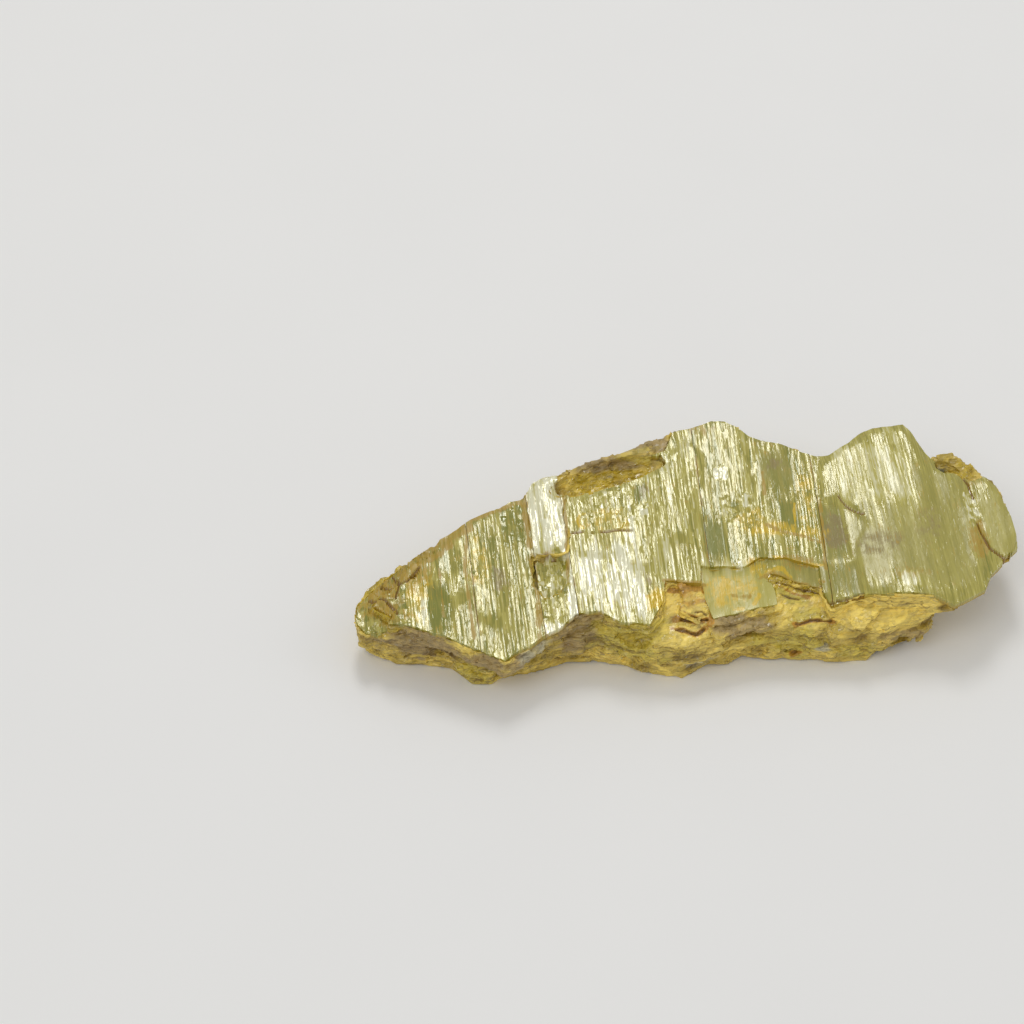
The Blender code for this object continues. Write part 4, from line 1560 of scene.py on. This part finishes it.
        # Each stretch of a striation, and each glittering crumb, gets a paler or deeper tone at
        # random: painted glints along the lines and on the crumbs.
        for i, family in enumerate(self.families):
            rise, label = family.relief(self.seed + 31 * i, s, y)
            relief += ridges * rise
            tone += (0.15 + 0.13 * i) * swing * (label - 0.5)
        plan = np.stack([s, y / 1.3], axis=1)
        glitter, label = Chance.chips(self.seed + self.CHIP_SEED, plan, self.CHIP)
        relief += (crumb + 0.008) * glitter
        tone += (label - 0.5) * np.clip(crumb * 9.0, 0.0, 0.8)
        crack = np.zeros(len(s))
        for line in CRACKS:
            near = line.nearness(x, y)
            relief -= line.depth * near
            crack = np.maximum(crack, near)
        paint(mesh, "tone", tone)
        paint(mesh, "dull", dull)
        paint(mesh, "crack", crack)
        return relief

    def _clear(self, bm: bmesh.types.BMesh) -> None:
        """Deletes all that hangs on no face or is cut off from the sheet."""
        left = set(bm.verts)
        islands = []
        while left:
            front = [left.pop()]
            island = list(front)
            while front:
                near = {v for face in front.pop().link_faces for v in face.verts} & left
                left -= near
                front += near
                island += near
            islands.append(island)
        sheet = set(max(islands, key=len))
        scraps = [v for v in bm.verts if v not in sheet]
        bmesh.ops.delete(bm, geom=scraps, context="VERTS")
        bare = [e for e in bm.edges if not e.link_faces]
        bmesh.ops.delete(bm, geom=bare, context="EDGES")

    def _close(self, bm: bmesh.types.BMesh) -> None:
        """Gives the skin a wall and an underside, so that it is a closed sheet."""
        skin = bm.faces[:]
        copied = bmesh.ops.extrude_face_region(bm, geom=skin, use_keep_orig=True)["geom"]
        lowered = [v for v in copied if isinstance(v, bmesh.types.BMVert)]
        earthy = bm.verts.layers.float[Earth.OCHRE.value]
        for v in lowered:
            v[earthy] = 1.0
        bmesh.ops.translate(bm, verts=lowered, vec=(0.0, 0.0, -self.thickness * MM))
        bmesh.ops.recalc_face_normals(bm, faces=bm.faces)


# Where shallow pockets of the tip and the strip start and end to be bridged, and never.
LATE = (6.5, 6.72)
NEVER = (99.0, 100.0)

SHEETS = [
    CleavageSheet(
        "sheet_tip", -31.0, -20.0, 0.05, 0.36, 0.95, 1000, (FACE_COVER, TIP_COVER), bridged=LATE
    ),
    CleavageSheet("sheet_left", -20.0, -14.15, -0.05, 0.34, 1.05, 1100),
    # The strip's tone of 1.0 paints its bright band: painted sheen.
    CleavageSheet(
        "sheet_strip", -14.15, -11.0, 0.08, 1.0, 1.1, 1200, (FACE_COVER, FOOT_COVER),
        bridged=LATE, raised=0.45
    ),
    CleavageSheet("sheet_middle_left", -11.0, 1.65, -0.05, 0.5, 1.05, 1300),
    CleavageSheet("sheet_middle_right", 1.65, 12.2, 0.05, 0.34, 0.9, 1400),
    CleavageSheet("sheet_right", 12.2, 30.8, 0.0, 0.4, 0.5, 1500),
    CleavageSheet(
        "sheet_pale", 0.7, 12.15, 0.0, 0.36, 0.15, 1700, (PALE_COVER,),
        lift=-0.02, steepest=0.0, bridged=NEVER
    ),
]


@dataclass
class Studio:
    """The floor, the lights and the camera.

    Attributes:
        camera_place: Where the camera stands, in the drawing's millimetres.
        camera_down: How far it looks down, in degrees.
        lens: Its focal length in millimetres.
        floor_size: The floor's width in metres.
        floor_colour: The floor's colour.
        sky: The colour of the room's even light.
        sky_strength: How strong it is.
    """

    camera_place: tuple[float, float, float] = (-15.9, -170.5, 163.4)
    camera_down: float = 42.0
    lens: float = 90.0
    floor_size: float = 3.0
    floor_colour: Colour = (0.92, 0.92, 0.91, 1.0)
    sky: Colour = (1.0, 0.99, 0.97, 1.0)
    sky_strength: float = 0.48

    def build(self) -> None:
        """Builds the floor, the lights and the camera."""
        self._floor()
        self._sky()
        self._softbox("back softbox", (-0.023, 0.264, 0.424), (0.1, 0.18), 0.5)
        self._softbox("front softbox", (-0.22, -0.3, 0.46), (0.35, 0.3), 0.6)
        self._softbox("side softbox", (0.5, 0.02, 0.3), (0.3, 0.3), 0.3)
        self._camera()

    def _floor(self) -> None:
        """Lays the pale floor just under the specimen."""
        bm = bmesh.new()
        bmesh.ops.create_grid(bm, x_segments=1, y_segments=1, size=self.floor_size / 2)
        bmesh.ops.translate(bm, verts=bm.verts, vec=(0.0, 0.0, -0.00002))
        floor = linked_object("floor", closed(bm, bpy.data.meshes.new("floor")))
        pale, graph, shader = new_material("pale floor")
        grain = graph.node("ShaderNodeTexNoise")
        grain.inputs["Scale"].default_value = 40.0
        graph.link(graph.node("ShaderNodeTexCoord").outputs["Object"], grain.inputs["Vector"])
        shaded = tuple(0.97 * c for c in self.floor_colour[:3]) + (1.0,)
        colour = graph.blend(grain.outputs[0], self.floor_colour, shaded)
        graph.link(colour, shader.inputs["Base Color"])
        shader.inputs["Roughness"].default_value = 0.7
        floor.data.materials.append(pale)

    def _sky(self) -> None:
        """Fills the room with even light."""
        world = bpy.data.worlds.new("room")
        world.use_nodes = True
        sky = world.node_tree.nodes["Background"]
        sky.inputs["Color"].default_value = self.sky
        sky.inputs["Strength"].default_value = self.sky_strength
        bpy.context.scene.world = world

    def _softbox(self, name: str, place: tuple, size: tuple, watts: float) -> None:
        """Hangs a softbox that faces the specimen."""
        light = bpy.data.lights.new(name, "AREA")
        light.shape = "RECTANGLE"
        light.size, light.size_y = size
        light.energy = watts
        lamp = bpy.data.objects.new(name, light)
        lamp.location = place
        lamp.rotation_euler = Vector(place).to_track_quat("Z", "Y").to_euler()
        bpy.context.scene.collection.objects.link(lamp)

    def _camera(self) -> None:
        """Sets the camera at the photograph's viewing angle."""
        view = bpy.data.cameras.new("camera")
        view.lens = self.lens
        view.clip_start = 0.01
        camera = bpy.data.objects.new("camera", view)
        x, y, z = self.camera_place
        camera.location = ((x + DRAWING_X) * MM, (y + DRAWING_Y) * MM, z * MM)
        camera.rotation_euler = (math.radians(90.0 - self.camera_down), 0.0, 0.0)
        bpy.context.scene.collection.objects.link(camera)
        bpy.context.scene.camera = camera


def solid_surface(node: bpy.types.Object) -> BVHTree:
    """Prepares the solid for rays.

    Args:
        node: The solid.

    Returns:
        Its surface, in the frame.
    """
    bm = opened(node.data)
    tree = BVHTree.FromBMesh(bm)
    bm.free()
    return tree


def main() -> None:
    """Builds the pieces in order and reports each."""
    logging.basicConfig(level=logging.INFO, format="%(name)s %(message)s")
    bpy.context.scene.view_settings.view_transform = "Standard"
    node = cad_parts[NODE]
    streaks = streak_group()
    crumbs = crumb_group()
    broken = BrokenFinish().material(crumbs)
    cleavage = CleavageFinish().material(streaks, crumbs)
    show(BrokenBody().build(node), broken)
    tree = solid_surface(node)
    for sheet in SHEETS:
        show(sheet.build(tree), cleavage)
    Studio().build()


if __name__ == "__main__":
    main()
